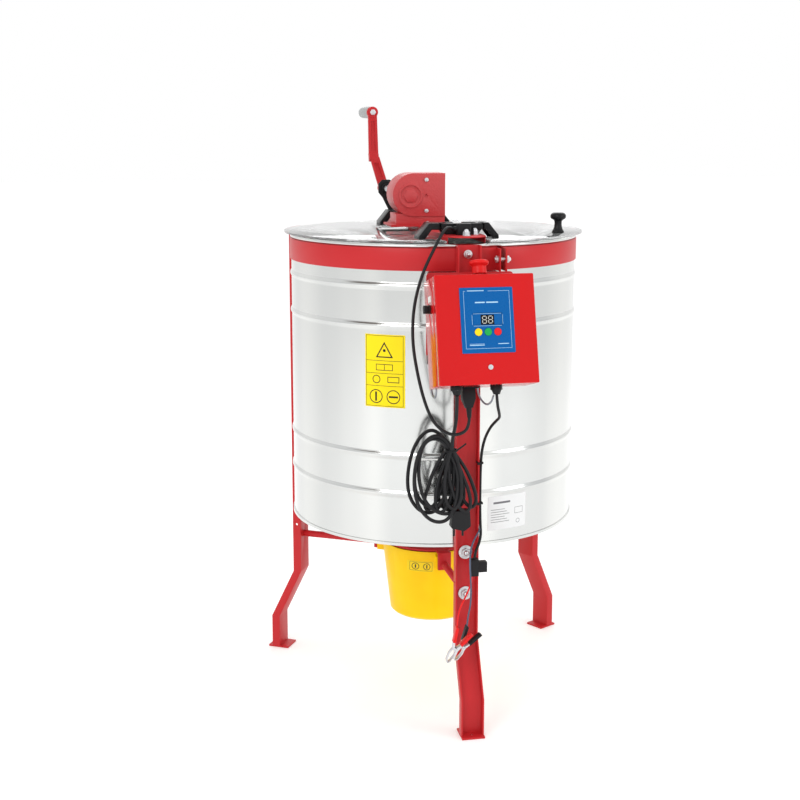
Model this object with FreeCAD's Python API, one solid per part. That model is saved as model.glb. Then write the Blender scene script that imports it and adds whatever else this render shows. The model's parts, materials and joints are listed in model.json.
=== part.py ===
import FreeCAD, Part
import math
import os

# Honey extractor: a steel drum on three channel legs, with a driven basket inside.
# Millimetres, +Z up. The origin is on the drum's axis at floor level, with the
# front leg and the control box towards -Y, and the crank's handle towards +Y.

os.makedirs("parts", exist_ok=True)
V = FreeCAD.Vector
ORIGIN = V(0, 0, 0)
X = V(1, 0, 0)
Y = V(0, 1, 0)
Z = V(0, 0, 1)

# ---- driving dimensions ----
DRUM_R = 325.0
DRUM_WALL = 1.5
DRUM_BOTTOM = 400.0
DRUM_RIM = 1050.0
RIM_BEAD_R = 4.0
BEAD_HEIGHT = 16.0
BEAD_DEPTH = 3.0
BEAD_LEVELS = (514.0, 598.0, 876.0, 961.0)
BAND_BOTTOM = 994.0
BAND_TOP = 1041.0
BAND_THICK = 3.2
LEG_WIDTH = 50.0
LEG_DEPTH = 20.0
LEG_THICK = 3.0
LEG_R = 329.0
LEG_FOOT_R = 389.0
LEG_TOP = 1048.0
LEG_BEND_UPPER = 205.0
LEG_BEND_LOWER = 82.0
LEG_ANGLES = {"leg_front": -90.0, "leg_rear_left": 150.0, "leg_rear_right": 30.0}
FOOT_HOLE_R = 4.5
FOOT_HOLE_PCR = 402.0
UPPER_BAR_Z = 389.0
LOWER_BAR_Z = 297.0
BEAM_HALF = 42.5
BEAM_TOP = 1066.0
BEAM_END = 343.0
LID_R = 341.0
LID_BOTTOM = 1053.0
LID_THICK = 4.0
LID_INNER = 46.0
HINGE_X = 40.5
HINGE_Z = 1083.0
HINGE_LEVELS_Y = (-255.0, 190.0)
HINGE_DEPTH = 50.0
CRANK_X = -48.0
CRANK_Z = 1136.0
CRANK_SHAFT_R = 8.0
WHEEL_R = 34.6
PINION_R = 13.0
PINION_SHAFT_R = 8.0
BASKET_SHAFT_R = 12.0
BASKET_R = 292.0
BASKET_BOTTOM = 452.0
BASKET_TOP = 985.0
BIG_PULLEY_R = 42.0
SMALL_PULLEY_R = 12.0
PULLEY_Z = 342.0
PULLEY_H = 16.0
MOTOR_Y = 66.0
BOX_TILT = 15.0
BOX_CENTRE = V(4, -475, 894)
BOX_HALF_W = 102.0
BOX_HALF_H = 110.0
BOX_DEPTH = 95.0
BOX_WALL = 2.5
RUN = 0.05
GAP = 0.4

nodes = {}


# ---- helpers ----
def cyl(radius, height, base, direction=Z):
    return Part.makeCylinder(radius, height, base, direction)


def block(x0, x1, y0, y1, z0, z1):
    return Part.makeBox(x1 - x0, y1 - y0, z1 - z0, V(x0, y0, z0))


def tube(outer, inner, height, base, direction=Z):
    hole_base = base - direction * 1.0
    return cyl(outer, height, base, direction).cut(cyl(inner, height + 2, hole_base, direction))


def prism(points, sweep):
    """Closed polygon through the points, extruded along the sweep vector."""
    wire = Part.makePolygon(points + [points[0]])
    return Part.Face(wire).extrude(sweep)


def plate_xy(points, z0, z1):
    return prism([V(x, y, z0) for x, y in points], V(0, 0, z1 - z0))


def plate_xz(points, y0, y1):
    return prism([V(x, y0, z) for x, z in points], V(0, y1 - y0, 0))


def plate_yz(points, x0, x1):
    return prism([V(x0, y, z) for y, z in points], V(x1 - x0, 0, 0))


def revolved(edges_or_points):
    """Turn a closed outline in the XZ plane once about Z."""
    if isinstance(edges_or_points[0], tuple):
        points = [V(r, 0, z) for r, z in edges_or_points]
        wire = Part.makePolygon(points + [points[0]])
    else:
        wire = Part.Wire(edges_or_points)
    return Part.Face(wire).revolve(ORIGIN, Z, 360)


def fuse(shapes):
    result = shapes[0]
    if len(shapes) > 1:
        result = result.fuse(shapes[1:])
    return result.removeSplitter()


def turned(shape, angle):
    """The shape turned about the drum's axis."""
    copy = shape.copy()
    copy.rotate(ORIGIN, Z, angle)
    return copy


def mirrored_x(shape):
    return shape.mirror(ORIGIN, X)


def soften(shape, radius, wanted):
    """Round the edges that the test picks."""
    edges = [edge for edge in shape.Edges if wanted(edge)]
    return shape.makeFillet(radius, edges)


def along(edge, direction):
    if not isinstance(edge.Curve, Part.Line):
        return False
    return abs(abs(edge.Curve.Direction.dot(direction)) - 1) < 1e-6


def hexagon(across_flats, height, base, direction=Z):
    """Hexagonal head whose flats are the given distance apart."""
    corner_r = across_flats / math.sqrt(3)
    points = []
    for i in range(6):
        angle = math.radians(60 * i)
        points.append(V(corner_r * math.cos(angle), corner_r * math.sin(angle), 0))
    shape = prism(points, V(0, 0, height))
    shape.Placement = FreeCAD.Placement(base, FreeCAD.Rotation(Z, direction))
    return shape


def dome_nut(base, across_flats=13.0):
    """Domed nut standing up from the base point."""
    washer = cyl(9, 1.6, base)
    nut = hexagon(across_flats, 7, base + V(0, 0, 1.6))
    dome = Part.makeSphere(5.4, base + V(0, 0, 8.6), Z, 0, 90, 360)
    return fuse([washer, nut, dome])


def add(name, shapes):
    """Keep a node as one solid or as a group of separate solids."""
    if not isinstance(shapes, list):
        shapes = [shapes]
    solids = []
    for shape in shapes:
        solids.extend(shape.Solids)
    nodes[name] = solids[0] if len(solids) == 1 else Part.makeCompound(solids)


# ---- the box's own frame: x across, y into the box, z up along its front ----
BOX_PLACE = FreeCAD.Placement(BOX_CENTRE, FreeCAD.Rotation(X, -BOX_TILT))


def in_box(shape):
    copy = shape.copy()
    copy.Placement = BOX_PLACE.multiply(copy.Placement)
    return copy


def box_point(x, y, z):
    return BOX_PLACE.multVec(V(x, y, z))


# ---- cords ----
def rounded_route(points):
    """Straight runs joined by tangent arcs, as large as their runs allow."""
    radii = []
    edges = []
    start = points[0]
    for before, here, after in zip(points, points[1:], points[2:]):
        back = (before - here)
        ahead = (after - here)
        shorter = min(back.Length, ahead.Length)
        back.normalize()
        ahead.normalize()
        half_turn = (math.pi - back.getAngle(ahead)) / 2
        trim = 0.45 * shorter
        radius = trim / math.tan(half_turn)
        radii.append(radius)
        entry = here + back * trim
        leave = here + ahead * trim
        bisector = back + ahead
        bisector.normalize()
        middle = here + bisector * (radius / math.cos(half_turn) - radius)
        edges.append(Part.LineSegment(start, entry).toShape())
        edges.append(Part.Arc(entry, middle, leave).toShape())
        start = leave
    edges.append(Part.LineSegment(start, points[-1]).toShape())
    return Part.Wire(edges), radii


def cord_tube(name, diameter, route):
    """Round tube along the route; prints its length and its tightest bend."""
    points = [V(*point) for point in route]
    wire, radii = rounded_route(points)
    first = points[1] - points[0]
    section = Part.Wire(Part.makeCircle(diameter / 2, points[0], first))
    solid = wire.makePipeShell([section], True, False)
    if not solid.isValid():
        print(name, "is not valid")
    expected = math.pi * diameter ** 2 / 4 * wire.Length
    print(name, "length %.0f" % wire.Length, "least radius %.1f" % min(radii),
          "radius/diameter %.1f" % (min(radii) / diameter),
          "volume ratio %.4f" % (solid.Volume / expected),
          "longest run %.0f" % max((b - a).Length for a, b in zip(points, points[1:])))
    return solid


def cord(name, diameter, route):
    add(name, cord_tube(name, diameter, route))


# ---- drum ----
def drum_wall_edges(radius, z0, z1):
    """Wall line at one radius, with the pressed beads as arcs."""
    edges = []
    z = z0
    for level in BEAD_LEVELS:
        low = V(radius, 0, level - BEAD_HEIGHT / 2)
        high = V(radius, 0, level + BEAD_HEIGHT / 2)
        edges.append(Part.LineSegment(V(radius, 0, z), low).toShape())
        edges.append(Part.Arc(low, V(radius + BEAD_DEPTH, 0, level), high).toShape())
        z = level + BEAD_HEIGHT / 2
    edges.append(Part.LineSegment(V(radius, 0, z), V(radius, 0, z1)).toShape())
    return edges


def make_drum():
    top = DRUM_RIM - RIM_BEAD_R
    inner_r = DRUM_R - DRUM_WALL
    outer = drum_wall_edges(DRUM_R, DRUM_BOTTOM, top)
    inner = drum_wall_edges(inner_r, DRUM_BOTTOM, top)
    foot = Part.LineSegment(V(inner_r, 0, DRUM_BOTTOM), V(DRUM_R, 0, DRUM_BOTTOM)).toShape()
    crown = Part.LineSegment(V(inner_r, 0, top), V(DRUM_R, 0, top)).toShape()
    outline = Part.__sortEdges__(outer + inner + [foot, crown])
    shell = revolved(outline)
    rim = Part.makeTorus(DRUM_R - 1, RIM_BEAD_R, V(0, 0, top))
    chime = revolved([(DRUM_R - 0.2, 400), (DRUM_R + 2.5, 400), (DRUM_R + 2.5, 407), (DRUM_R - 0.2, 409)])
    shell = fuse([shell, rim, chime])
    outlet = cyl(20, 20, V(0, DRUM_R - 12, 436), Y)
    shell = shell.cut(outlet)
    add("drum_shell", shell.cut(fuse(bolt_holes())))
    floor_r = DRUM_R - DRUM_WALL - 0.02
    floor = revolved([(26, 424), (floor_r, 409), (floor_r, 411), (26, 426)])
    cup = revolved([(16.2, 404), (24, 404), (24, 418), (30, 418), (30, 432), (16.2, 432)])
    add("drum_floor", fuse([floor, cup]))


# ---- frame ----
def bolt_holes():
    """Clearance for the leg bolts at the rim."""
    holes = []
    for angle in LEG_ANGLES.values():
        hole = cyl(4.2, 24, V(DRUM_R - 12, 0, 1029), X)
        holes.append(turned(hole, angle))
    return holes


def make_leg(name, angle):
    half = LEG_WIDTH / 2
    line = [(LEG_R, LEG_TOP), (LEG_R, LEG_BEND_UPPER), (LEG_FOOT_R, LEG_BEND_LOWER), (LEG_FOOT_R, 4)]
    web_points = [V(r, -half, z) for r, z in line]
    web_points += [V(r + LEG_THICK, -half, z) for r, z in reversed(line)]
    web = prism(web_points, V(0, LEG_WIDTH, 0))
    flange_points = [V(r, 0, z) for r, z in line]
    flange_points += [V(r + LEG_DEPTH, 0, z) for r, z in reversed(line)]
    flange = prism(flange_points, V(0, LEG_THICK, 0))
    left = flange.copy()
    left.translate(V(0, -half, 0))
    right = flange.copy()
    right.translate(V(0, half - LEG_THICK, 0))
    foot = block(LEG_FOOT_R - 22, LEG_FOOT_R + 30, -half, half, 0, 4)
    leg = fuse([web, left, right, foot])
    bend = [V(LEG_R, 0, LEG_BEND_UPPER), V(LEG_R + LEG_THICK, 0, LEG_BEND_UPPER)]
    leg = soften(leg, 14, lambda e: along(e, Y) and abs(e.CenterOfMass.z - bend[0].z) < 1 and
                 e.CenterOfMass.x < LEG_R + 5)
    leg = leg.cut(cyl(FOOT_HOLE_R, 8, V(FOOT_HOLE_PCR, 0, -2)))
    leg = leg.cut(cyl(4.2, 12, V(LEG_R - 4, 0, 1029), X))
    leg = leg.cut(cyl(3, 60, V(LEG_R + 10, -30, 325), Y))
    for z in (UPPER_BAR_Z, LOWER_BAR_Z):
        leg = leg.cut(cyl(5.2, 12, V(LEG_R - 4, 0, z), X))
    for z in TIE_LEVELS:
        leg = leg.cut(block(LEG_R + 4, LEG_R + 9, half - LEG_THICK - 1, half + 1, z - 3, z + 3))
    add(name, turned(leg, angle))


def make_band():
    inner = DRUM_R + 0.3
    height = BAND_TOP - BAND_BOTTOM
    band = tube(inner + BAND_THICK, inner, height, V(0, 0, BAND_BOTTOM))
    band = band.cut(block(66, 76, -DRUM_R - 10, -300, BAND_BOTTOM - 1, BAND_TOP + 1))
    ears = []
    for x0 in (62.8, 76):
        ear = block(x0, x0 + 3.2, -DRUM_R - 26, -318.6, BAND_BOTTOM, BAND_TOP)
        ear = ear.cut(cyl(inner, height + 4, V(0, 0, BAND_BOTTOM - 2)))
        ear = ear.cut(cyl(4.2, 10, V(x0 - 3, -DRUM_R - 15, 1018), X))
        ears.append(ear)
    band = fuse([band] + ears)
    add("hoop_band", band.cut(fuse(bolt_holes())))


def make_under_frame():
    half = 10.0
    uppers = [tube(62, 34, 6, V(0, 0, UPPER_BAR_Z - half))]
    lowers = [cyl(114, 5, V(0, 0, 320))]
    for angle in LEG_ANGLES.values():
        bar = block(50, LEG_R - 0.1, -half, half, UPPER_BAR_Z - half, UPPER_BAR_Z + half)
        bar = bar.cut(cyl(5.0, 40, V(LEG_R - 30, 0, UPPER_BAR_Z), X))
        uppers.append(turned(bar, angle))
        rod = cyl(8, LEG_R - 0.1 - 140, V(140, 0, LOWER_BAR_Z), X)
        rod = rod.cut(cyl(5.0, 40, V(LEG_R - 30, 0, LOWER_BAR_Z), X))
        tab = block(132, 140.5, -15, 15, 284, 325)
        arm = block(104, 140.5, -15, 15, 320, 325)
        lowers += [turned(rod, angle), turned(tab, angle), turned(arm, angle)]
    lower = fuse(lowers)
    lower = lower.cut(cyl(16, 20, V(0, MOTOR_Y, 310)))
    add("under_frame", [fuse(uppers), lower])


def hex_bolt(shank_r, shank, head, washer_r):
    """Bolt along +X whose washer sits on the plane x = 0."""
    washer = cyl(washer_r, 2, ORIGIN, X)
    nut = hexagon(head, 6.5, V(2, 0, 0), X)
    dome = Part.makeSphere(head * 0.36, V(8.5, 0, 0), X, 0, 90, 360)
    stem = cyl(shank_r, shank, V(-shank, 0, 0), X)
    return fuse([washer, nut, dome, stem])


def make_bolts():
    face = LEG_R + LEG_THICK
    group = []
    for angle in LEG_ANGLES.values():
        for z, shank_r, shank, head, washer_r in ((1029, 4, 16, 13, 9),
                                                  (UPPER_BAR_Z, 4.9, 30, 17, 15),
                                                  (LOWER_BAR_Z, 4.9, 30, 17, 15)):
            bolt = hex_bolt(shank_r, shank, head, washer_r)
            bolt.translate(V(face, 0, z))
            group.append(turned(bolt, angle))
    clamp = cyl(4, 34, V(55, -DRUM_R - 15, 1018), X)
    clamp_head = hexagon(13, 5.5, V(57.3, -DRUM_R - 15, 1018), X)
    clamp_nut = hexagon(13, 6.5, V(79.3, -DRUM_R - 15, 1018), X)
    group.append(fuse([clamp, clamp_head, clamp_nut]))
    for x, y in ((0, -317), (25, -292), (27, 68), (-27, 68), (27, -68), (-27, -68)):
        group.append(dome_nut(V(x, y, BEAM_TOP)))
    for x, z in ((-24, 1171), (-24, 1101)):
        group.append(cyl(4.5, 3, V(x, -43.5, z), Y))
    for x in (-30, 30):
        for y in (307, 329):
            group.append(cyl(4.0, 3, V(x, y, BEAM_TOP + 3)))
    add("frame_bolts", group)


def make_beam():
    end = BEAM_END - 30
    outline = [V(-BEAM_HALF, -end, 0), V(-BEAM_HALF, BEAM_END, 0), V(BEAM_HALF, BEAM_END, 0),
               V(BEAM_HALF, -end, 0)]
    sides = [Part.LineSegment(a, b).toShape() for a, b in zip(outline, outline[1:])]
    nose = Part.Arc(outline[3], V(0, -BEAM_END, 0), outline[0]).toShape()
    face = Part.Face(Part.Wire(sides + [nose]))
    body = face.extrude(V(0, 0, BEAM_TOP - DRUM_RIM))
    hollow = block(-BEAM_HALF + 3, BEAM_HALF - 3, -BEAM_END - 1, BEAM_END + 1, -1, BEAM_TOP - DRUM_RIM - 3)
    body = body.cut(hollow)
    body.translate(V(0, 0, DRUM_RIM))
    body = body.cut(cyl(20.2, 30, V(0, 0, DRUM_RIM)))
    base = block(-106, 26, -48, 48, BEAM_TOP, BEAM_TOP + 5)
    base = base.cut(block(20, 30, -50, 50, 1060, 1080))
    base = base.cut(cyl(20.2, 30, V(0, 0, DRUM_RIM)))
    add("cross_beam", fuse([body, base]))


# ---- gearbox, crank and their bearings ----
HOUSE_R = 48.5
HOUSE_X = -52.5
HOUSE_Z = 1137.0
HOUSE_WALL = 3.0
HOUSE_FRONT = -36.0
HOUSE_BACK = 36.0


def house_outline(inset, y):
    """D shaped outline: round on the left, flat on the right."""
    r = HOUSE_R - inset
    right = 20.0 - inset
    top = V(HOUSE_X, y, HOUSE_Z + r)
    left = V(HOUSE_X - r, y, HOUSE_Z)
    low = V(HOUSE_X, y, HOUSE_Z - r)
    high_right = V(right, y, HOUSE_Z + r)
    low_right = V(right, y, HOUSE_Z - r)
    return Part.Wire([Part.Arc(top, left, low).toShape(),
                      Part.LineSegment(low, low_right).toShape(),
                      Part.LineSegment(low_right, high_right).toShape(),
                      Part.LineSegment(high_right, top).toShape()])


def make_gearbox():
    outer = Part.Face(house_outline(0, HOUSE_FRONT)).extrude(V(0, HOUSE_BACK - HOUSE_FRONT, 0))
    inner = Part.Face(house_outline(HOUSE_WALL, HOUSE_FRONT - 1))
    inner = inner.extrude(V(0, HOUSE_BACK - HOUSE_FRONT - HOUSE_WALL, 0))
    feet = block(HOUSE_X - 40, 20, HOUSE_FRONT, HOUSE_BACK, BEAM_TOP + 5, HOUSE_Z - HOUSE_R + 6)
    house = fuse([outer, feet]).cut(inner)
    house = house.cut(cyl(18, 40, V(0, 0, 1060)))
    house = house.cut(cyl(14, 20, V(CRANK_X, HOUSE_BACK - 10, CRANK_Z), Y))
    add("gearbox_housing", house)
    lid = Part.Face(house_outline(0, HOUSE_FRONT - 4)).extrude(V(0, 4, 0))
    ring = tube(27, 23.5, 3.0, V(-60, HOUSE_FRONT - 7, 1135), Y)
    nut = hexagon(28, 2.5, V(-60, HOUSE_FRONT - 4, 1135), V(0, -1, 0))
    lid = fuse([lid, ring, nut])
    lid = lid.cut(cyl(4, 8, V(-24, HOUSE_FRONT - 9, 1134), Y))
    add("gearbox_cover", lid)


def make_bearings():
    """Flanged bushes: basket shaft top and bottom, crank shaft in the housing and at the rim."""
    beam = tube(18, BASKET_SHAFT_R + RUN, 34, V(0, 0, 1046))
    flange = tube(20, BASKET_SHAFT_R + RUN, 3, V(0, 0, 1043))
    upper = fuse([beam, flange])
    floor = tube(16, BASKET_SHAFT_R + RUN, 36, V(0, 0, 398))
    housing = tube(14, CRANK_SHAFT_R + RUN, 8, V(CRANK_X, HOUSE_BACK - 4, CRANK_Z), Y)
    housing = fuse([housing, tube(18, CRANK_SHAFT_R + RUN, 4, V(CRANK_X, HOUSE_BACK + 0.02, CRANK_Z), Y)])
    plate = plate_xz([(-34, BEAM_TOP), (16, BEAM_TOP), (-22, 1132), (-28, 1152), (-40, 1158), (-58, 1158),
                      (-68, 1148), (-68, 1126), (-58, 1114)], 314, 322)
    plate = fuse([plate, block(-38, 38, 300, 336, BEAM_TOP, BEAM_TOP + 3)])
    plate = plate.cut(cyl(13, 20, V(CRANK_X, 308, CRANK_Z), Y))
    bush = tube(13, CRANK_SHAFT_R + RUN, 16, V(CRANK_X, 310, CRANK_Z), Y)
    bush = fuse([bush, tube(19, CRANK_SHAFT_R + RUN, 5, V(CRANK_X, 322, CRANK_Z), Y)])
    add("bearing_blocks", [upper, floor, housing, plate, bush])


def toothed(tip_r, root_r, teeth, height, bore_r):
    """Toothed disc standing on the origin."""
    points = []
    for i in range(teeth):
        pitch = 2 * math.pi / teeth
        for part, r in ((0.0, root_r), (0.16, tip_r), (0.40, tip_r), (0.56, root_r)):
            angle = pitch * (i + part)
            points.append(V(r * math.cos(angle), r * math.sin(angle), 0))
    disc = prism(points, V(0, 0, height))
    return disc.cut(cyl(bore_r, height + 2, V(0, 0, -1)))


def make_crank():
    shaft = cyl(CRANK_SHAFT_R, 388, V(CRANK_X, -22, CRANK_Z), Y)
    collar = cyl(14, 9, V(CRANK_X, 328, CRANK_Z), Y)
    add("crank_shaft", fuse([shaft, collar]))
    wheel = toothed(WHEEL_R, WHEEL_R - 3.2, 36, 20, CRANK_SHAFT_R)
    hub = tube(16, CRANK_SHAFT_R, 8, V(0, 0, 20))
    wheel = fuse([wheel, hub])
    wheel.Placement = FreeCAD.Placement(V(CRANK_X, 10, CRANK_Z), FreeCAD.Rotation(X, 90))
    add("crank_gear", wheel)
    # dog-leg arm of channel section, from the hub up to the grip's boss
    hub_z = CRANK_Z
    kink = (-72.0, 1210.0)
    boss = (-75.0, 1325.0)
    hub_ring = tube(15, CRANK_SHAFT_R, 16, V(CRANK_X, 346, hub_z), Y)
    low = plate_xz([(CRANK_X - 13, hub_z), (CRANK_X + 13, hub_z), (kink[0] + 12, kink[1] + 4),
                    (kink[0] - 12, kink[1] + 4)], 348, 358)
    step = plate_xz([(kink[0] - 12, kink[1] - 8), (kink[0] + 12, kink[1] - 8), (kink[0] + 11, kink[1] + 12),
                     (kink[0] - 13, kink[1] + 12)], 352, 368)
    high = plate_xz([(kink[0] - 12, kink[1]), (kink[0] + 12, kink[1]), (-64, boss[1]), (-86, boss[1])], 359, 369)
    end = cyl(14, 12, V(boss[0], 358, boss[1]), Y)
    arm = fuse([hub_ring, low, step, high, end])
    groove = plate_xz([(-62, hub_z + 26), (-51, hub_z + 26), (-62.5, kink[1] - 12), (-73.5, kink[1] - 12)],
                      345, 351)
    groove_high = plate_xz([(-78, kink[1] + 18), (-67, kink[1] + 18), (-70, boss[1] - 22), (-79, boss[1] - 22)],
                           354, 362)
    arm = arm.cut(groove).cut(groove_high)
    arm = arm.cut(cyl(CRANK_SHAFT_R, 40, V(CRANK_X, 330, hub_z), Y))
    pin = cyl(5, 128, V(boss[0], 370, boss[1]), Y)
    head = hexagon(13, 6, V(boss[0], 358, boss[1]), V(0, -1, 0))
    cap = cyl(8, 4, V(boss[0], 494, boss[1]), Y)
    add("crank_arm", fuse([arm, pin, head, cap]))
    grip = revolved([(5.05, 0), (13, 0), (14, 3), (15, 60), (14, 117), (12, 120), (5.05, 120)])
    grip.Placement = FreeCAD.Placement(V(boss[0], 371, boss[1]), FreeCAD.Rotation(X, -90))
    add("crank_grip", grip)


# ---- basket ----
def make_basket():
    shaft = fuse([cyl(BASKET_SHAFT_R, 754, V(0, 0, 334)), cyl(PINION_SHAFT_R, 73, V(0, 0, 1087))])
    add("basket_shaft", shaft)
    pinion = toothed(PINION_R, PINION_R - 2.2, 12, 40, PINION_SHAFT_R)
    pinion.translate(V(0, 0, CRANK_Z - 20))
    add("basket_gear", pinion)
    side = BASKET_R / math.sqrt(2)
    inner = BASKET_R - 8
    cage = []
    for z in (BASKET_BOTTOM, BASKET_TOP - 8):
        # each ring is four arcs that meet on the posts
        ring = tube(BASKET_R, inner, 8, V(0, 0, z))
        for angle in (45, 135):
            ring = ring.cut(turned(block(-BASKET_R - 5, BASKET_R + 5, -0.05, 0.05, z - 1, z + 9), angle))
        cage += ring.Solids
        hub = turned(block(-22, 22, -22, 22, z, z + 8), 45)
        cage.append(hub.cut(cyl(BASKET_SHAFT_R, 10, V(0, 0, z - 1))))
        for angle in (45, 135, 225, 315):
            cage.append(turned(block(22, inner - 0.03, -4, 4, z, z + 8), angle))
    for angle in (45, 135, 225, 315):
        cage.append(turned(block(inner - 4, inner + 4, -4, 4, BASKET_BOTTOM + 8, BASKET_TOP - 8), angle))
    add("basket_frame", cage)
    # one wire screen on each side of the square, held between the spokes
    bars = []
    columns = 12
    for i in range(columns + 1):
        x = -side + 14 + i * (2 * side - 28) / columns
        bars.append(block(x - 1.5, x + 1.5, side - 10, side - 7, BASKET_BOTTOM + 8, BASKET_TOP - 8))
    rows = 8
    for i in range(rows + 1):
        z = BASKET_BOTTOM + 18 + i * (BASKET_TOP - BASKET_BOTTOM - 36) / rows
        bars.append(block(-side + 12, side - 12, side - 8, side - 5, z - 1.5, z + 1.5))
    screen = fuse(bars)
    add("basket_screens", [turned(screen, angle) for angle in (0, 90, 180, 270)])
    groove = [(BASKET_SHAFT_R, 0), (BIG_PULLEY_R + 5, 0), (BIG_PULLEY_R + 5, 2.5), (BIG_PULLEY_R, 2.8),
              (BIG_PULLEY_R, PULLEY_H - 2.8), (BIG_PULLEY_R + 5, PULLEY_H - 2.5),
              (BIG_PULLEY_R + 5, PULLEY_H), (22, PULLEY_H), (22, PULLEY_H + 12), (BASKET_SHAFT_R, PULLEY_H + 12)]
    pulley = revolved(groove)
    pulley.translate(V(0, 0, PULLEY_Z))
    add("basket_pulley", pulley)


# ---- drive under the drum ----
def make_drive():
    can = cyl(37, 96, V(0, MOTOR_Y, 223.5))
    boss = cyl(15.5, 5, V(0, MOTOR_Y, 319.5))
    motor = fuse([can, boss]).cut(cyl(4.05, 40, V(0, MOTOR_Y, 300)))
    box = block(-30, 30, -50, 10, 240, 300)
    stay = block(-12, 12, -40, -20, 299, 320)
    add("drive_motor", [motor, fuse([box, stay])])
    profile = [(0, -40), (4, -40), (4, 0), (SMALL_PULLEY_R + 3, 0), (SMALL_PULLEY_R + 3, 2.5),
               (SMALL_PULLEY_R, 2.8), (SMALL_PULLEY_R, PULLEY_H - 2.8), (SMALL_PULLEY_R + 3, PULLEY_H - 2.5),
               (SMALL_PULLEY_R + 3, PULLEY_H), (0, PULLEY_H)]
    pulley = revolved(profile)
    pulley.translate(V(0, MOTOR_Y, PULLEY_Z))
    add("motor_pulley", pulley)
    add("drive_belt", belt_loop(GAP + 4).cut(belt_loop(GAP)))
    # bucket cover, hung from the tabs on the lower rods
    top_r = 117.0
    low_r = 98.0
    cover = revolved([(0, 146), (low_r - 6, 146), (low_r, 152), (top_r, 319), (top_r - 3, 319),
                      (low_r - 3, 153), (low_r - 7, 149), (0, 149)])
    ears = []
    for angle in LEG_ANGLES.values():
        ear = block(112, 131.8, -17, 17, 281, 313).cut(block(100, 128, -14, 14, 270, 310))
        ears.append(turned(ear, angle))
    inside = Part.makeCone(low_r - 3, top_r - 3, 166, V(0, 0, 153))
    ears = fuse(ears).cut(inside)
    add("motor_cover", fuse([cover, ears]))


def belt_loop(offset):
    """Flat belt round both pulleys, standing off them by the offset."""
    big = BIG_PULLEY_R + offset
    small = SMALL_PULLEY_R + offset
    lean = math.asin((big - small) / MOTOR_Y)
    z = PULLEY_Z + 3.2
    sides = []
    for sign in (1, -1):
        normal = V(sign * math.cos(lean), math.sin(lean), 0)
        sides.append((V(0, 0, z) + normal * big, V(0, MOTOR_Y, z) + normal * small))
    right, left = sides
    wire = Part.Wire([
        Part.LineSegment(right[0], right[1]).toShape(),
        Part.Arc(right[1], V(0, MOTOR_Y + small, z), left[1]).toShape(),
        Part.LineSegment(left[1], left[0]).toShape(),
        Part.Arc(left[0], V(0, -big, z), right[0]).toShape()])
    return Part.Face(wire).extrude(V(0, 0, PULLEY_H - 6.4))


# ---- lids and hinges ----
def make_lids():
    half = Part.makeCylinder(LID_R, LID_THICK, V(0, 0, LID_BOTTOM))
    half = half.cut(block(-400, LID_INNER, -400, 400, 1000, 1100))
    right = half.copy()
    left = mirrored_x(half)
    dots = [cyl(5, 2.4, V(316 * math.cos(math.radians(a)), 316 * math.sin(math.radians(a)), LID_BOTTOM - 2.4))
            for a in (-60, 0, 60)]
    add("lid_right", fuse([right] + dots))
    left = left.cut(block(-120, -40, -56, 56, 1040, 1070))
    add("lid_left", fuse([left] + [mirrored_x(dot) for dot in dots]))
    knob = revolved([(0, 0), (13, 0), (9, 10), (8, 26), (15, 32), (17.5, 37), (16.5, 42), (12, 44), (0, 44)])
    knob.translate(V(250, -158, LID_BOTTOM + LID_THICK))
    add("lid_knob", knob)


HINGE_REACH = {"left": 92.0, "right": 80.0}


def hinge_leaf(y, reach):
    """Arch from the hinge pin over to the lid, hollow underneath."""
    knuckle = 7.0
    top = LID_BOTTOM + LID_THICK
    y0 = y - HINGE_DEPTH / 2
    y1 = y + HINGE_DEPTH / 2
    arch = plate_xz([(HINGE_X, HINGE_Z - knuckle), (reach - 27, HINGE_Z - knuckle), (reach - 13, top), (reach, top),
                     (reach, top + 6), (reach - 22, HINGE_Z + knuckle), (HINGE_X, HINGE_Z + knuckle)], y0, y1)
    barrel = cyl(knuckle, HINGE_DEPTH, V(HINGE_X, y0, HINGE_Z), Y)
    hollow = plate_xz([(48.5, top - 1), (reach - 5, top - 1), (reach - 5, top + 3), (reach - 24, HINGE_Z + 3.5),
                       (48.5, HINGE_Z + 3.5)], y0 + 4, y1 - 4)
    leaf = fuse([arch, barrel]).cut(hollow)
    for near, far in ((y0 - 1, y0 + 12.4), (y1 - 12.4, y1 + 1)):
        leaf = leaf.cut(block(30, HINGE_X + knuckle + 1, near, far, top, 1100))
    return leaf.cut(cyl(3.05, HINGE_DEPTH + 4, V(HINGE_X, y0 - 2, HINGE_Z), Y))


def hinge_base(y):
    """Two cheeks, the bridge between them and the pin, in one piece on the beam."""
    y0 = y - HINGE_DEPTH / 2
    y1 = y + HINGE_DEPTH / 2
    parts = [plate_xz([(3, BEAM_TOP), (HINGE_X - 6, BEAM_TOP), (HINGE_X + 3, HINGE_Z - 5.5), (HINGE_X + 3, HINGE_Z + 6),
                       (12, HINGE_Z + 6), (3, HINGE_Z - 2)], near, far) for near, far in ((y0, y0 + 12), (y1 - 12, y1))]
    parts.append(block(3, HINGE_X - 8, y0, y1, BEAM_TOP, HINGE_Z - 2))
    parts.append(cyl(3, HINGE_DEPTH, V(HINGE_X, y0, HINGE_Z), Y))
    parts.append(cyl(4.5, 2, V(HINGE_X, y0 - 2, HINGE_Z), Y))
    return fuse(parts)


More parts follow.
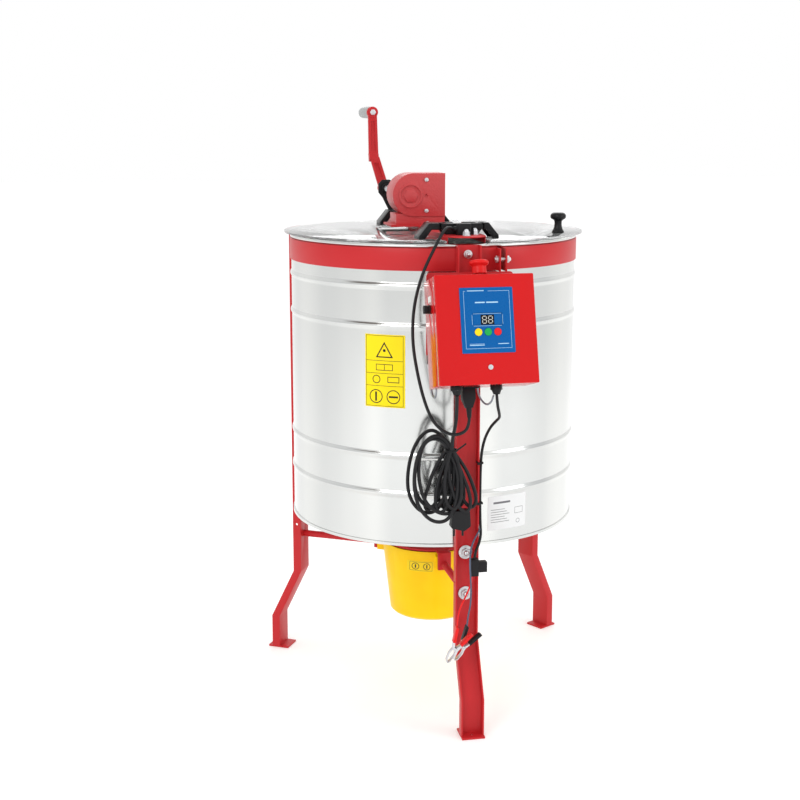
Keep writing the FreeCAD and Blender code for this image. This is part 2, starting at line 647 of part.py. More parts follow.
def make_hinges():
    """Moving arches on the lids, and the fixed halves with their pins on the beam."""
    add("hinge_leaves_right", [hinge_leaf(y, HINGE_REACH["right"]) for y in HINGE_LEVELS_Y])
    add("hinge_leaves_left", [mirrored_x(hinge_leaf(y, HINGE_REACH["left"])) for y in HINGE_LEVELS_Y])
    bases = [hinge_base(y) for y in HINGE_LEVELS_Y]
    add("hinge_bases", bases + [mirrored_x(base) for base in bases])


# ---- control box ----
GLANDS = ((-62, 27), (23, 40))
STOP_X = 4.0
STOP_Y = 50.0
INLET_Y = 60.0


def key_place(index):
    return (-18 + 19.8 * index, -6)


def make_box():
    w = BOX_HALF_W
    h = BOX_HALF_H
    lip = 14.0
    case = block(-w, w, lip, BOX_DEPTH, -h, h)
    case = soften(case, 3, lambda e: along(e, Y))
    core = block(-w + BOX_WALL, w - BOX_WALL, lip - 1, BOX_DEPTH - BOX_WALL, -h + BOX_WALL, h - BOX_WALL)
    case = case.cut(core)
    for x, y in GLANDS:
        case = case.cut(cyl(8.2, 10, V(x, y, -h - 4)))
    case = case.cut(block(-45.5, -16.5, 50, 70, -h - 4, -h + 4))
    case = case.cut(cyl(11.2, 10, V(STOP_X, STOP_Y, h - 6)))
    case = case.cut(cyl(6.2, 10, V(-w - 4, 52, 48), X))
    add("box_case", in_box(case))
    cover = block(-w, w, 0, lip - 0.02, -h, h)
    cover = soften(cover, 3, lambda e: along(e, Y))
    cover = soften(cover, 1.5, lambda e: e.BoundBox.YMax < 0.01)
    core = block(-w + BOX_WALL, w - BOX_WALL, BOX_WALL, lip + 1, -h + BOX_WALL, h - BOX_WALL)
    cover = cover.cut(core)
    for index in range(3):
        x, z = key_place(index)
        cover = cover.cut(cyl(8.0, 10, V(x, -4, z), Y))
    cover = cover.cut(block(-30, 34, -1, 4, 6, 34))
    cover = cover.cut(cyl(3.2, 6, V(3, -2, -76), Y))
    add("box_cover", in_box(cover))
    panel = block(-53, 56, -1.2, -0.02, -48, 83)
    panel = soften(panel, 2, lambda e: along(e, Y))
    for index in range(3):
        x, z = key_place(index)
        panel = panel.cut(cyl(7.8, 6, V(x, -4, z), Y))
    glass = block(-28, 32, -0.4, 3, 8, 32)
    panel = panel.cut(block(-28.3, 32.3, -4, 2, 7.7, 32.3))
    add("panel_plate", [in_box(panel), in_box(glass)])
    board = block(-60, 62, 8.5, 10.1, -60, 90)
    digits = block(-14, 18, 3.2, 8.4, 10, 30)
    heat_sink = block(28, 58, 10.2, 34, 28, 78)
    stand_offs = [cyl(3, 5.9, V(x, BOX_WALL, z), Y) for x, z in ((-55, -55), (57, -55), (-55, 85), (57, 85))]
    supply = block(-80, 80, 60, BOX_DEPTH - BOX_WALL - 0.1, -70, 20)
    add("circuit_board", [in_box(s) for s in [board, digits, heat_sink, supply] + stand_offs])
    for index, name in enumerate(("key_mode", "key_start", "key_stop")):
        x, z = key_place(index)
        key = cyl(7.5, 4.6, V(x, -2.4, z), Y)
        key = soften(key, 0.8, lambda e: e.BoundBox.YMax < -2.3)
        stem = cyl(3, 4.0, V(x, 2.0, z), Y)
        add(name, in_box(fuse([key, stem])))


def make_box_fittings():
    h = BOX_HALF_H
    w = BOX_HALF_W
    parts = []
    for x, y in GLANDS:
        neck = cyl(8, 6, V(x, y, -h - 2))
        nut = hexagon(22, 9, V(x, y, -h - 9))
        dome = Part.makeCone(6.5, 10, 9, V(x, y, -h - 18))
        ring = hexagon(21, 4, V(x, y, -h + BOX_WALL))
        parts.append(fuse([neck, nut, dome, ring]))
    flange = block(-54, -8, 48, 72, -h - 3, -h - 0.02)
    flange = soften(flange, 3, lambda e: along(e, Z))
    body = block(-45, -17, 50.5, 69.5, -h - 0.02, -h + 18)
    inlet = fuse([flange, body]).cut(block(-43.5, -18.5, 52, 68, -h - 5, -h + 15))
    parts.append(inlet)
    fuse_base = cyl(6, 26, V(-w - 2, 52, 48), X)
    fuse_flange = cyl(9, 3, V(-w - 3, 52, 48), X)
    parts.append(fuse([fuse_base, fuse_flange]).cut(cyl(3.6, 20, V(-w - 6, 52, 48), X)))
    stem = cyl(11, 17, V(STOP_X, STOP_Y, h - 14))
    ring = cyl(17, 3, V(STOP_X, STOP_Y, h + 0.02))
    contacts = block(STOP_X - 20, STOP_X + 20, 30, 70, h - 44, h - 14)
    parts.append(fuse([stem, ring, contacts]).cut(cyl(5.6, 26, V(STOP_X, STOP_Y, h - 12))))
    screw = cyl(3, 4, V(3, -1, -76), Y)
    head = cyl(5, 1.4, V(3, -1.4, -76), Y)
    parts.append(fuse([screw, head]).cut(block(2.4, 3.6, -3, -0.6, -80, -72)))
    add("box_fittings", [in_box(part) for part in parts])
    cap = fuse([cyl(8.5, 10, V(-w - 13.4, 52, 48), X), cyl(3.5, 14, V(-w - 4, 52, 48), X)])
    cap = cap.cut(block(-w - 15, -w - 11, 51, 53, 40, 56))
    add("fuse_cap", in_box(cap))
    head = revolved([(0, -6), (5.5, -6), (5.5, 8), (15.5, 8), (14.5, 23), (20.3, 28), (20.3, 32), (17, 35.5),
                     (8, 36.5), (0, 36.5)])
    head.translate(V(STOP_X, STOP_Y, h))
    add("e_stop_head", in_box(head))
    # plug that sits in the inlet, with its strain relief
    pins = block(-43.2, -18.8, 52.3, 67.7, -h - 3.1, -h + 14)
    shell = Part.makeLoft([Part.Wire(Part.makePolygon([V(-31 + a * s, INLET_Y + b * t, z) for a, b in
                           ((-1, -1), (1, -1), (1, 1), (-1, 1), (-1, -1))]))
                           for s, t, z in ((13.5, 9, -h - 3.1), (13.5, 9, -h - 24), (7, 6, -h - 42))], True, True)
    relief = Part.makeCone(4.2, 6, 22, V(-31, INLET_Y, -h - 62))
    add("lid_sensor_plug", in_box(fuse([pins, shell, relief])))


def make_bracket():
    """Folded plate behind the box, bolted to the front leg's flanges."""
    plate = block(-92, 92, -352.4, -349.2, 806, 994)
    plate = soften(plate, 8, lambda e: along(e, Y))
    ribs = []
    back_top = box_point(0, BOX_DEPTH, BOX_HALF_H)
    back_low = box_point(0, BOX_DEPTH, -BOX_HALF_H)
    slope = (back_top.y - back_low.y) / (back_top.z - back_low.z)
    for x in (-70, 67):
        z0 = 808.0
        z1 = 950.0
        rib = plate_yz([(-352.4, z0), (-352.4, z1), (back_low.y + slope * (z1 - back_low.z) + 0.05, z1),
                        (back_low.y + slope * (z0 - back_low.z) + 0.05, z0)], x, x + 3)
        ribs.append(rib)
    add("box_bracket", fuse([plate] + ribs))
    left = [(-86, -360, 812), (-86, -362, 768), (-84, -376, 742), (-82, -396, 742), (-82, -404, 756), (-82, -404, 766)]
    right = [(18, -352, 765), (18, -353, 742), (24, -361, 726), (32, -374, 718), (39, -386, 726), (42, -392, 742)]
    hooks = []
    for route in (left, right):
        wire, radii = rounded_route([V(*p) for p in route])
        first = V(*route[1]) - V(*route[0])
        section = Part.Wire(Part.makeCircle(2, V(*route[0]), first))
        hooks.append(wire.makePipeShell([section], True, False))
    tab_left = block(-92, -80, -363, -352.5, 806.5, 824)
    tab_right = block(12, 24, -355, -349.2, 758, 775)
    hooks[0] = fuse([hooks[0], tab_left])
    hooks[1] = fuse([hooks[1], tab_right])
    add("cord_hooks", hooks)


# ---- cords and what hangs on them ----
SENSOR_CORD_D = 6.5
MAINS_D = 7.5
LEAD_D = 6.0
WIRE_D = 3.6
TIE_LEVELS = (588, 500)


def make_sensor_cord():
    relief = box_point(-31, INLET_Y, -BOX_HALF_H - 62)
    sensor = block(-15, 14, -305, -283, BEAM_TOP, BEAM_TOP + 24)
    sensor = soften(sensor, 3, lambda e: along(e, Z))
    sensor = fuse([sensor, cyl(5.5, 7, V(-22, -294, BEAM_TOP + 13), X)])
    add("lid_sensor", sensor)
    cord("lid_sensor_cable", SENSOR_CORD_D, [
        (relief.x, relief.y, relief.z), (-29.5, -466, 695), (-41, -468, 683), (-60, -466, 679), (-80, -461, 686),
        (-98, -453, 703), (-110, -443, 730), (-119, -431, 765), (-126, -418, 806), (-131, -406, 850),
        (-130, -394, 892), (-124, -383, 932), (-113, -373, 970), (-98, -364, 1006), (-80, -356, 1038),
        (-63, -344, 1064), (-49, -328, 1080), (-37, -310, 1084), (-22, -294, 1079)])


HANK_TIE = V(-50, -400, 632)
HANK_OUTLINE = ((-50, 640), (-70, 667), (-95, 674), (-122, 642), (-139, 580), (-135, 530), (-108, 494), (-66, 478),
                (-54, 484), (-52, 505), (-6, 505), (6, 508), (9, 560), (-6, 600), (-30, 628))


def make_mains():
    gland = box_point(*GLANDS[0], -BOX_HALF_H - 18)
    lead = cord_tube("mains_cord", MAINS_D, [
        (gland.x, gland.y, gland.z), (-54.5, -467, 719), (-53, -448, 690), (-51, -420, 664), (-50, -402, 641)])
    hank = plate_xz(HANK_OUTLINE, HANK_TIE.y - 15, HANK_TIE.y + 15)
    hank = soften(hank, 6, lambda e: along(e, Y))
    add("mains_cord", [lead.cut(hank), hank])
    # angled plug hanging at the hank's foot
    foot = 503.0
    y = HANK_TIE.y + 2
    shell = plate_xz([(-46, foot), (-10, foot), (-8, foot - 34), (-22, foot - 44), (-50, foot - 36)], y - 11, y + 11)
    shell = soften(shell, 4, lambda e: along(e, Y))
    pins = [cyl(2.4, 19, V(px, y, foot - 56), Z) for px in (-42, -23)]
    add("mains_plug", fuse([shell] + pins))


def make_battery_lead():
    gland = box_point(*GLANDS[1], -BOX_HALF_H - 18)
    cord("battery_lead", LEAD_D, [
        (gland.x, gland.y, gland.z), (gland.x + 3, gland.y + 4, gland.z - 24), (39, -448, 716), (46, -426, 702),
        (46, -401, 690), (41, -377, 673), (34, -357, 645), (29.8, -346, 612), (28.8, -342.4, 572), (28.6, -341.8, 528),
        (28.8, -342.2, 484), (28.8, -346, 454), (27.5, -357, 432), (19, -369, 414), (10, -377, 402), (8, -379, 388)])
    holder = block(-1, 16, -388, -370, 352, 388)
    holder = soften(holder, 2, lambda e: along(e, Z))
    add("blade_fuse_holder", fuse([holder, block(16, 34, -387, -371, 360, 382)]))
    cord("battery_wire_red", WIRE_D, [
        (3, -379, 352), (1, -381, 338), (-5, -384, 322), (-16, -392, 306), (-28, -403, 292), (-35, -411, 275),
        (-37, -412, 249)])
    cord("battery_wire_black", WIRE_D, [
        (27.5, -350, 446), (22, -358, 440), (10, -374, 432), (0, -386, 420), (-5, -393, 404), (-6, -395, 380),
        (-4, -396, 350), (-3, -396, 320), (-4, -396, 292), (-8, -392, 268), (-10.2, -391, 243)])
    ties = []
    for z in TIE_LEVELS:
        strap = block(20.5, 33, -351, -335, z - 2, z + 2).cut(block(21.7, 31.9, -349.8, -336.2, z - 3, z + 3))
        ties.append(fuse([strap, block(19, 25, -355, -351, z - 2.5, z + 2.5)]))
    add("cable_ties", ties)


def clip(name, place, tilt):
    """Two jaws that turn on a pin, each with its sleeve over the grip."""
    pin_z = -43.0
    for part, flip in (("lower", True), ("upper", False)):
        sign = -1.0 if flip else 1.0
        jaw = prism([V(sign * x, -5.5, z) for x, z in
                     ((2.6, -38), (6, -34), (16.5, -2), (18.5, -2), (8.2, -36), (5, -44), (7.5, -56), (5, -72),
                      (0.5, -77), (0.5, -74), (3.4, -70), (5.4, -56), (3, -46))], V(0, 11, 0))
        sleeve = prism([V(sign * x, -7, z) for x, z in ((14.8, 0), (20.6, 0), (10.9, -32), (5.6, -30))], V(0, 14, 0))
        half = fuse([jaw, sleeve])
        if flip:
            bar = cyl(2, 16, V(0, -8, pin_z), Y)
            arms = [block(-4.4, 1.5, y0, y0 + 1.8, pin_z - 3, pin_z + 3) for y0 in (-7.2, 5.4)]
            half = fuse([half, bar] + arms)
        else:
            ears = [block(-2.6, 4.4, y0, y0 + 1.5, pin_z - 3, pin_z + 3) for y0 in (-9, 7.5)]
            bridge = [block(2.8, 4.4, y0, y0 + 3.5, pin_z - 3, pin_z + 3) for y0 in (-9, 5.5)]
            half = fuse([half] + ears + bridge)
            half = half.cut(cyl(2.05, 24, V(0, -12, pin_z), Y))
            half = half.cut(block(-4.8, 1.9, -7.6, -5.4, pin_z - 4, pin_z + 4))
            half = half.cut(block(-4.8, 1.9, 5.4, 7.6, pin_z - 4, pin_z + 4))
        half.rotate(ORIGIN, Y, tilt)
        half.translate(place)
        add(name + "_" + part, half)


def make_clips():
    clip("clip_red", V(-21, -412, 243), 29.5)
    clip("clip_black", V(5, -391, 235), 34)


# ---- outlet gate at the rear ----
GATE_Z = 436.0
GATE_PIVOT_X = 40.0


def make_gate():
    flange = tube(33, 20, 5, V(0, 354, GATE_Z), Y)
    ear = block(24, GATE_PIVOT_X + 9, 354, 359, GATE_Z - 9, GATE_Z + 9)
    pin = cyl(4, 16, V(GATE_PIVOT_X, 356, GATE_Z), Y)
    knob = cyl(9, 5, V(GATE_PIVOT_X, 368, GATE_Z), Y)
    shell_side = cyl(DRUM_R + 0.05, 120, V(0, 0, GATE_Z - 60))
    neck = tube(23, 20, 40, V(0, DRUM_R - 8, GATE_Z), Y).cut(shell_side)
    body = fuse([neck, flange, ear]).cut(cyl(20, 60, V(0, DRUM_R - 10, GATE_Z), Y))
    add("honey_gate_spout", fuse([body, pin, knob]))
    disc = cyl(30, 6, V(0, 359 + GAP, GATE_Z), Y)
    arm = block(20, GATE_PIVOT_X + 8, 359 + GAP, 365.4, GATE_Z - 8, GATE_Z + 8)
    handle = block(-62, -24, 359 + GAP, 365.4, GATE_Z - 7, GATE_Z + 7)
    flap = fuse([disc, arm, handle])
    add("gate_flap", flap.cut(cyl(4.05, 20, V(GATE_PIVOT_X, 352, GATE_Z), Y)))


# ---- labels ----
def wall_label(a0, a1, z0, z1, thick=0.4):
    """Thin label on the drum's wall between two angles from -Y towards +X."""
    inner = DRUM_R + 0.05
    ring = tube(inner + thick, inner, z1 - z0, V(0, 0, z0))
    start = -90 + a0
    wedge = Part.makeCylinder(DRUM_R + 60, z1 - z0 + 2, V(0, 0, z0 - 1), Z, a1 - a0)
    wedge.rotate(ORIGIN, Z, start)
    return ring.common(wedge)


def make_labels():
    yellow = wall_label(-38.5, -22.7, 702, 858)
    white = wall_label(9.2, 26.4, 429, 504)
    seat = Part.makeCone(98.6, 117.6, 167, V(0, 0, 152))
    skin = seat.cut(Part.makeCone(98.1, 117.1, 167, V(0, 0, 152)))
    bucket = skin.common(block(-76, -19, -130, -60, 270, 296))
    side = in_box(block(-BOX_HALF_W - 0.4, -BOX_HALF_W - 0.02, 40, 64, 62, 74))
    add("labels", [yellow, white, bucket, side])


make_drum()
for leg_name, leg_angle in LEG_ANGLES.items():
    make_leg(leg_name, leg_angle)
make_band()
make_under_frame()
make_bolts()
make_beam()
make_gearbox()
make_bearings()
make_crank()
make_basket()
make_drive()
make_lids()
make_hinges()
make_box()
make_box_fittings()
make_bracket()
make_sensor_cord()
make_mains()
make_battery_lead()
make_clips()
make_gate()
make_labels()

for node_name, node_shape in nodes.items():
    if not node_shape.isValid():
        print("not valid:", node_name)
    node_shape.exportStep("parts/" + node_name + ".step")
print(len(nodes), "nodes")
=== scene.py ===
# %% [markdown]
# # A honey extractor, finished piece by piece
# A honey extractor is a steel drum with a basket that spins inside it. Combs stand in the
# basket, and the honey flies out to the wall and runs down to a gate. Every place and size
# starts from the fixed frame of parts that is loaded here, so nothing is fitted by eye.

import json
import math
import random

import bpy
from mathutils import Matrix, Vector

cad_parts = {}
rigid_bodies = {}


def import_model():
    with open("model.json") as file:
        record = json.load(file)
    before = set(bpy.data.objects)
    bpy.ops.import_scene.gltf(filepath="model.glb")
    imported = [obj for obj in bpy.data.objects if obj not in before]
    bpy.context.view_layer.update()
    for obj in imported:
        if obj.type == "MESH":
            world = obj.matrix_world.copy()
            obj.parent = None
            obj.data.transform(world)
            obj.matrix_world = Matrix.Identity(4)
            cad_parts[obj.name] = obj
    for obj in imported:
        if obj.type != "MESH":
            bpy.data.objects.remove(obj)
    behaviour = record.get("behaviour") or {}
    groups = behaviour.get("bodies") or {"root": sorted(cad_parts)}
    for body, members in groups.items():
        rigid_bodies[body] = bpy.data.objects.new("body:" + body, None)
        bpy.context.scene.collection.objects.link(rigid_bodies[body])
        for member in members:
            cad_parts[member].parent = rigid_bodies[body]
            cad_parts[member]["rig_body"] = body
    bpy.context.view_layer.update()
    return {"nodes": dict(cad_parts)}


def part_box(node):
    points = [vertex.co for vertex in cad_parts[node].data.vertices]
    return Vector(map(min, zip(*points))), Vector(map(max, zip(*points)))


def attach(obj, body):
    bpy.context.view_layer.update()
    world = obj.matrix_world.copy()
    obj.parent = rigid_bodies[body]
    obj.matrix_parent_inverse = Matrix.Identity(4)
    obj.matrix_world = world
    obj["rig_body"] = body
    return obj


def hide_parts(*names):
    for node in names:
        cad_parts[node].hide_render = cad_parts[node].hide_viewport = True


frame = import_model()
nodes = frame["nodes"]
body_name = {node: obj["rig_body"] for node, obj in nodes.items()}

# %% [markdown]
# ## The camera
# The camera stands a little to the left of the front leg and above the rim, and looks slightly
# down with a long lens, so that the drum's sides stay nearly upright.

# %% Camera
EYE = Vector((-0.6766, -2.992, 1.2863))
LOOK = Vector((0.19376, 0.96614, -0.17040))
LENS = 59.8
DROP = -0.053
camera_data = bpy.data.cameras.new("studio_camera")
camera_data.lens = LENS
camera_data.sensor_width = 36.0
camera_data.shift_y = DROP
camera = bpy.data.objects.new("studio_camera", camera_data)
camera.location = EYE
camera.rotation_euler = LOOK.to_track_quat("-Z", "Y").to_euler()
bpy.context.scene.collection.objects.link(camera)
bpy.context.scene.camera = camera
print("camera at", tuple(round(v, 3) for v in EYE))

# %% [markdown]
# ## Helpers for modelling by hand
# Operators act on whatever is selected, so each helper starts by deselecting everything. A
# piece is then started as one primitive, shaped in edit mode and finished with modifiers.


# %% Selection helpers
def only(obj):
    """Makes one object the only selected and active one."""
    for other in bpy.context.view_layer.objects:
        other.select_set(False)
    obj.select_set(True)
    bpy.context.view_layer.objects.active = obj


def edit(obj):
    only(obj)
    bpy.ops.object.mode_set(mode="EDIT")
    bpy.ops.mesh.select_all(action="DESELECT")


def done():
    bpy.ops.object.mode_set(mode="OBJECT")


def bake(obj):
    """Puts the object's place into its mesh, so that the object sits at the origin."""
    only(obj)
    bpy.ops.object.transform_apply(location=True, rotation=True, scale=True)


def apply_modifier(obj, kind, **settings):
    only(obj)
    modifier = obj.modifiers.new(kind.lower(), kind)
    for key, value in settings.items():
        setattr(modifier, key, value)
    bpy.ops.object.modifier_apply(modifier=modifier.name)


def round_edges(obj, width, segments=2, angle=32):
    """Bevels the sharp edges and shades the rest smooth."""
    apply_modifier(obj, "BEVEL", width=width, segments=segments, limit_method="ANGLE",
                   angle_limit=math.radians(angle), harden_normals=False, use_clamp_overlap=True)
    smooth(obj, angle)


def smooth(obj, angle=32):
    only(obj)
    bpy.ops.object.shade_smooth_by_angle(angle=math.radians(angle))


# %% Naming, riding and joining
def name_it(obj, name, finish):
    obj.name = name
    obj.data.name = name
    obj.data.materials.clear()
    obj.data.materials.append(finish)
    return obj


def stands_for(obj, *node_names):
    """The piece rides where its CAD node rides, and takes that node's place; the node is hidden."""
    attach(obj, body_name[node_names[0]])
    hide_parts(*node_names)
    return obj


def goes_with(obj, node):
    """The piece is added detail on a node's body."""
    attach(obj, body_name[node])
    return obj


def join(pieces):
    for other in bpy.context.view_layer.objects:
        other.select_set(False)
    for piece in pieces:
        piece.select_set(True)
    bpy.context.view_layer.objects.active = pieces[0]
    bpy.ops.object.join()
    return pieces[0]


# %% [markdown]
# ## Shader sums
# A finish is a sum of masks and noises. Wrapping a socket in a small class lets the sum be
# written as Python, such as `0.3 + noise * 0.1`, and every expression adds its Math nodes.


# %% Shader maths
class Value:
    """A number on a node's socket that can be used in sums."""

    def __init__(self, finish, socket):
        self.finish = finish
        self.socket = socket

    def maths(self, operation, *values):
        return self.finish.node("ShaderNodeMath", {"operation": operation}, *values)

    def __add__(self, other):
        return self.maths("ADD", self, other)

    def __radd__(self, other):
        return self.maths("ADD", other, self)

    def __sub__(self, other):
        return self.maths("SUBTRACT", self, other)

    def __rsub__(self, other):
        return self.maths("SUBTRACT", other, self)

    def __mul__(self, other):
        return self.maths("MULTIPLY", self, other)

    def __rmul__(self, other):
        return self.maths("MULTIPLY", other, self)

    def __truediv__(self, other):
        return self.maths("DIVIDE", self, other)

    def __abs__(self):
        return self.maths("ABSOLUTE", self)

    def over(self, limit):
        return self.maths("GREATER_THAN", self, limit)

    def under(self, limit):
        return self.maths("LESS_THAN", self, limit)

    def clamped(self):
        return self.maths("MINIMUM", self.maths("MAXIMUM", self, 0.0), 1.0)

    def most(self, other):
        return self.maths("MAXIMUM", self, other)


# %% Nodes and finishes
class Nodes:
    """A node tree that is filled from code."""

    def __init__(self, tree):
        self.tree = tree

    def node(self, kind, settings=None, *values, output=0, **named):
        """Adds a node, sets it up, fills its sockets and returns one output."""
        new = self.tree.nodes.new(kind)
        for key, value in (settings or {}).items():
            if key == "stops":
                ramp = new.color_ramp
                while len(ramp.elements) < len(value):
                    ramp.elements.new(0.5)
                for element, (place, colour) in zip(ramp.elements, value):
                    element.position = place
                    element.color = (*colour, 1.0)
            else:
                setattr(new, key, value)
        for socket, value in zip(new.inputs, values):
            self.fill(socket, value)
        for key, value in named.items():
            self.fill(new.inputs[key.replace("_", " ")], value)
        return Value(self, new.outputs[output])

    def fill(self, socket, value):
        if isinstance(value, Value):
            self.tree.links.new(value.socket, socket)
        elif value is not None:
            socket.default_value = value

    def mix(self, factor, first, second):
        new = self.tree.nodes.new("ShaderNodeMix")
        new.data_type = "RGBA"
        self.fill(new.inputs["Factor"], factor)
        for socket, value in ((new.inputs[6], first), (new.inputs[7], second)):
            self.fill(socket, (*value, 1.0) if isinstance(value, tuple) else value)
        return Value(self, new.outputs[2])

    def split(self, socket):
        new = self.tree.nodes.new("ShaderNodeSeparateXYZ")
        self.tree.links.new(socket, new.inputs[0])
        return [Value(self, output) for output in new.outputs]


class Finish(Nodes):
    """One material: its nodes, its places and its shader."""

    def __init__(self, name):
        self.material = bpy.data.materials.new(name)
        self.material.use_nodes = True
        super().__init__(self.material.node_tree)
        self.shader = self.tree.nodes["Principled BSDF"]
        self.places = self.tree.nodes.new("ShaderNodeTexCoord")

    def where(self):
        return Value(self, self.places.outputs["Object"])

    def axes(self):
        return self.split(self.places.outputs["Object"])

    def stretched(self, scale):
        return self.node("ShaderNodeMapping", None, Vector=self.where(), Scale=scale)

    def noise(self, scale, detail=3.0, rough=0.5, at=None):
        return self.node("ShaderNodeTexNoise", None, Vector=at or self.where(), Scale=scale,
                         Detail=detail, Roughness=rough)

    def bump(self, height, strength=0.2, distance=0.001, normal=None):
        return self.node("ShaderNodeBump", None, Height=height, Strength=strength,
                         Distance=distance, Normal=normal)

    def sockets(self, **values):
        for key, value in values.items():
            if isinstance(value, tuple):
                value = (*value, 1.0)
            self.fill(self.shader.inputs[key.replace("_", " ")], value)
        return self


# %% [markdown]
# ## Metals
# The drum is rolled from bright stainless sheet. It isn't a perfect mirror: the sheet waves
# slightly between its pressed beads, and the mill leaves fine upright streaks. Waves and streaks
# go into the bump and the roughness. Broad upright light and dark bands of painted reflection go
# into the colour. Zinc plating is duller and cloudy.


# %% Bright sheet
def bright_sheet(name, tone=0.84, dull=0.12):
    finish = Finish(name)
    streaks = finish.noise(60.0, 4.0, 0.6, finish.stretched((1.0, 1.0, 0.03)))
    clouds = finish.noise(5.0, 2.0)
    # painted reflection: broad upright bands that make the steel's colour lighter and darker
    painted_reflection_bands = finish.noise(6.0, 2.0, 0.5, finish.stretched((1.0, 1.0, 0.02)))
    waves = finish.bump(finish.noise(2.4, 1.0), 0.30, 0.004)
    grain = finish.bump(streaks, 0.05, 0.0002, waves)
    # painted reflection: the upright bands are mixed into the base colour as lighter and darker
    # stripes
    painted_reflection = ((painted_reflection_bands - 0.42) * 5.0).clamped()
    colour = finish.mix(painted_reflection, (tone * 0.90, tone * 0.915, tone * 0.90),
                        (tone * 1.06, tone * 1.07, tone * 1.04))
    finish.sockets(Base_Color=colour, Metallic=1.0, Normal=grain,
                   Roughness=dull + streaks * 0.07 + clouds * 0.05)
    return finish.material


def plated(name, colour, dull=0.28):
    finish = Finish(name)
    clouds = finish.noise(90.0, 4.0, 0.65)
    darker = tuple(c * 0.78 for c in colour)
    finish.sockets(Base_Color=finish.mix(clouds, colour, darker), Metallic=1.0,
                   Roughness=dull + clouds * 0.14, Normal=finish.bump(clouds, 0.08, 0.0003))
    return finish.material


drum_steel = bright_sheet("drum_steel", 0.69, 0.10)
basket_steel = bright_sheet("basket_steel", 0.74, 0.22)
zinc = plated("zinc_plate", (0.74, 0.75, 0.77))
hook_steel = plated("hook_steel", (0.34, 0.36, 0.40), 0.34)
shaft_steel = plated("shaft_steel", (0.56, 0.56, 0.57), 0.22)
print("metals:", [m.name for m in (drum_steel, basket_steel, zinc, hook_steel, shaft_steel)])

# %% [markdown]
# ## Paints
# The frame is powder coated: the powder melts to a satin skin with a fine orange peel. The
# control box is sprayed with gloss paint, so it has a clear coat and nearly no texture. The cast
# gearbox shows the sand's grain through its paint.


# %% Paints
def powder_coat(name, colour, dull=0.36, peel=620.0, strength=0.10, sheen=0.20):
    finish = Finish(name)
    finish.shader.inputs["Specular IOR Level"].default_value = sheen
    peel_noise = finish.noise(peel, 2.0, 0.4)
    patches = finish.noise(7.0, 2.0)
    pale = tuple(min(1.0, c * 1.18 + 0.012) for c in colour)
    finish.sockets(Base_Color=finish.mix(patches * 0.8, colour, pale),
                   Roughness=dull + patches * 0.10, Coat_Weight=0.10, Coat_Roughness=0.18,
                   Normal=finish.bump(peel_noise, strength, 0.0006))
    return finish.material


def gloss_paint(name, colour):
    finish = Finish(name)
    finish.shader.inputs["Specular IOR Level"].default_value = 0.12
    dust = finish.noise(900.0, 2.0, 0.5)
    sag = finish.noise(9.0, 1.0)
    deep = tuple(c * 0.90 for c in colour)
    finish.sockets(Base_Color=finish.mix(sag, colour, deep), Roughness=0.20 + dust * 0.05,
                   Coat_Weight=0.55, Coat_Roughness=0.03, Coat_IOR=1.38,
                   Normal=finish.bump(sag, 0.05, 0.002))
    return finish.material


frame_red = powder_coat("frame_red", (0.47, 0.012, 0.016))
cast_red = powder_coat("cast_red", (0.47, 0.030, 0.034), 0.34, 260.0, 1.0, 0.50)
box_red = gloss_paint("box_red", (0.57, 0.0008, 0.002))
print("paints:", frame_red.name, cast_red.name, box_red.name)

# %% [markdown]
# ## Plastics and rubber
# Moulded black parts come from a spark-eroded mould, so they have a fine, dull grain. The motor
# cover is a plain yellow bucket of polythene, a little waxy. The lid is clear sheet, shiny on
# both sides. The grip is translucent grey nylon.


# %% Plastics
def moulded(name, colour, dull=0.42, grain=1500.0, strength=0.12, coat=0.0):
    finish = Finish(name)
    finish.shader.inputs["Specular IOR Level"].default_value = 0.18
    fine = finish.noise(grain, 2.0, 0.6)
    broad = finish.noise(14.0, 2.0)
    pale = tuple(min(1.0, c * 1.25 + 0.004) for c in colour)
    finish.sockets(Base_Color=finish.mix(broad, colour, pale), Roughness=dull + fine * 0.10,
                   Coat_Weight=coat, Normal=finish.bump(fine, strength, 0.0002))
    return finish.material


def clear_sheet(name):
    finish = Finish(name)
    scuffs = finish.noise(240.0, 5.0, 0.7, finish.stretched((1.0, 0.12, 1.0)))
    sag = finish.noise(2.0, 1.0)
    finish.sockets(Base_Color=finish.mix(scuffs, (0.97, 0.98, 0.98), (0.90, 0.92, 0.92)),
                   Transmission_Weight=0.92, IOR=1.49,
                   Roughness=0.02 + scuffs * 0.05, Normal=finish.bump(sag, 0.12, 0.003))
    return finish.material


black_plastic = moulded("black_plastic", (0.009, 0.009, 0.010))
shiny_black = moulded("shiny_black", (0.008, 0.008, 0.009), 0.20, 900.0, 0.05)
yellow_plastic = moulded("yellow_bucket", (0.93, 0.54, 0.001), 0.30, 420.0, 0.05)
grip_grey = moulded("grip_grey", (0.30, 0.31, 0.31), 0.38, 700.0, 0.06)
lens_clear = clear_sheet("clear_sheet")
red_plastic = moulded("red_plastic", (0.62, 0.010, 0.010), 0.26, 900.0, 0.04)
white_plastic = moulded("white_plastic", (0.72, 0.72, 0.70), 0.34)
print("plastics are ready")


# %% Rubber and belts
def cable_rubber(name, colour, dull=0.42):
    """Soft cable jacket: extrusion leaves faint ripples and a slight bloom."""
    finish = Finish(name)
    finish.shader.inputs["Specular IOR Level"].default_value = 0.22
    bloom = finish.noise(38.0, 4.0, 0.6)
    ripple = finish.noise(700.0, 2.0)
    pale = tuple(c * 1.6 + 0.004 for c in colour)
    finish.sockets(Base_Color=finish.mix(bloom, colour, pale), Roughness=dull + bloom * 0.16,
                   Normal=finish.bump(ripple, 0.08, 0.0003))
    return finish.material


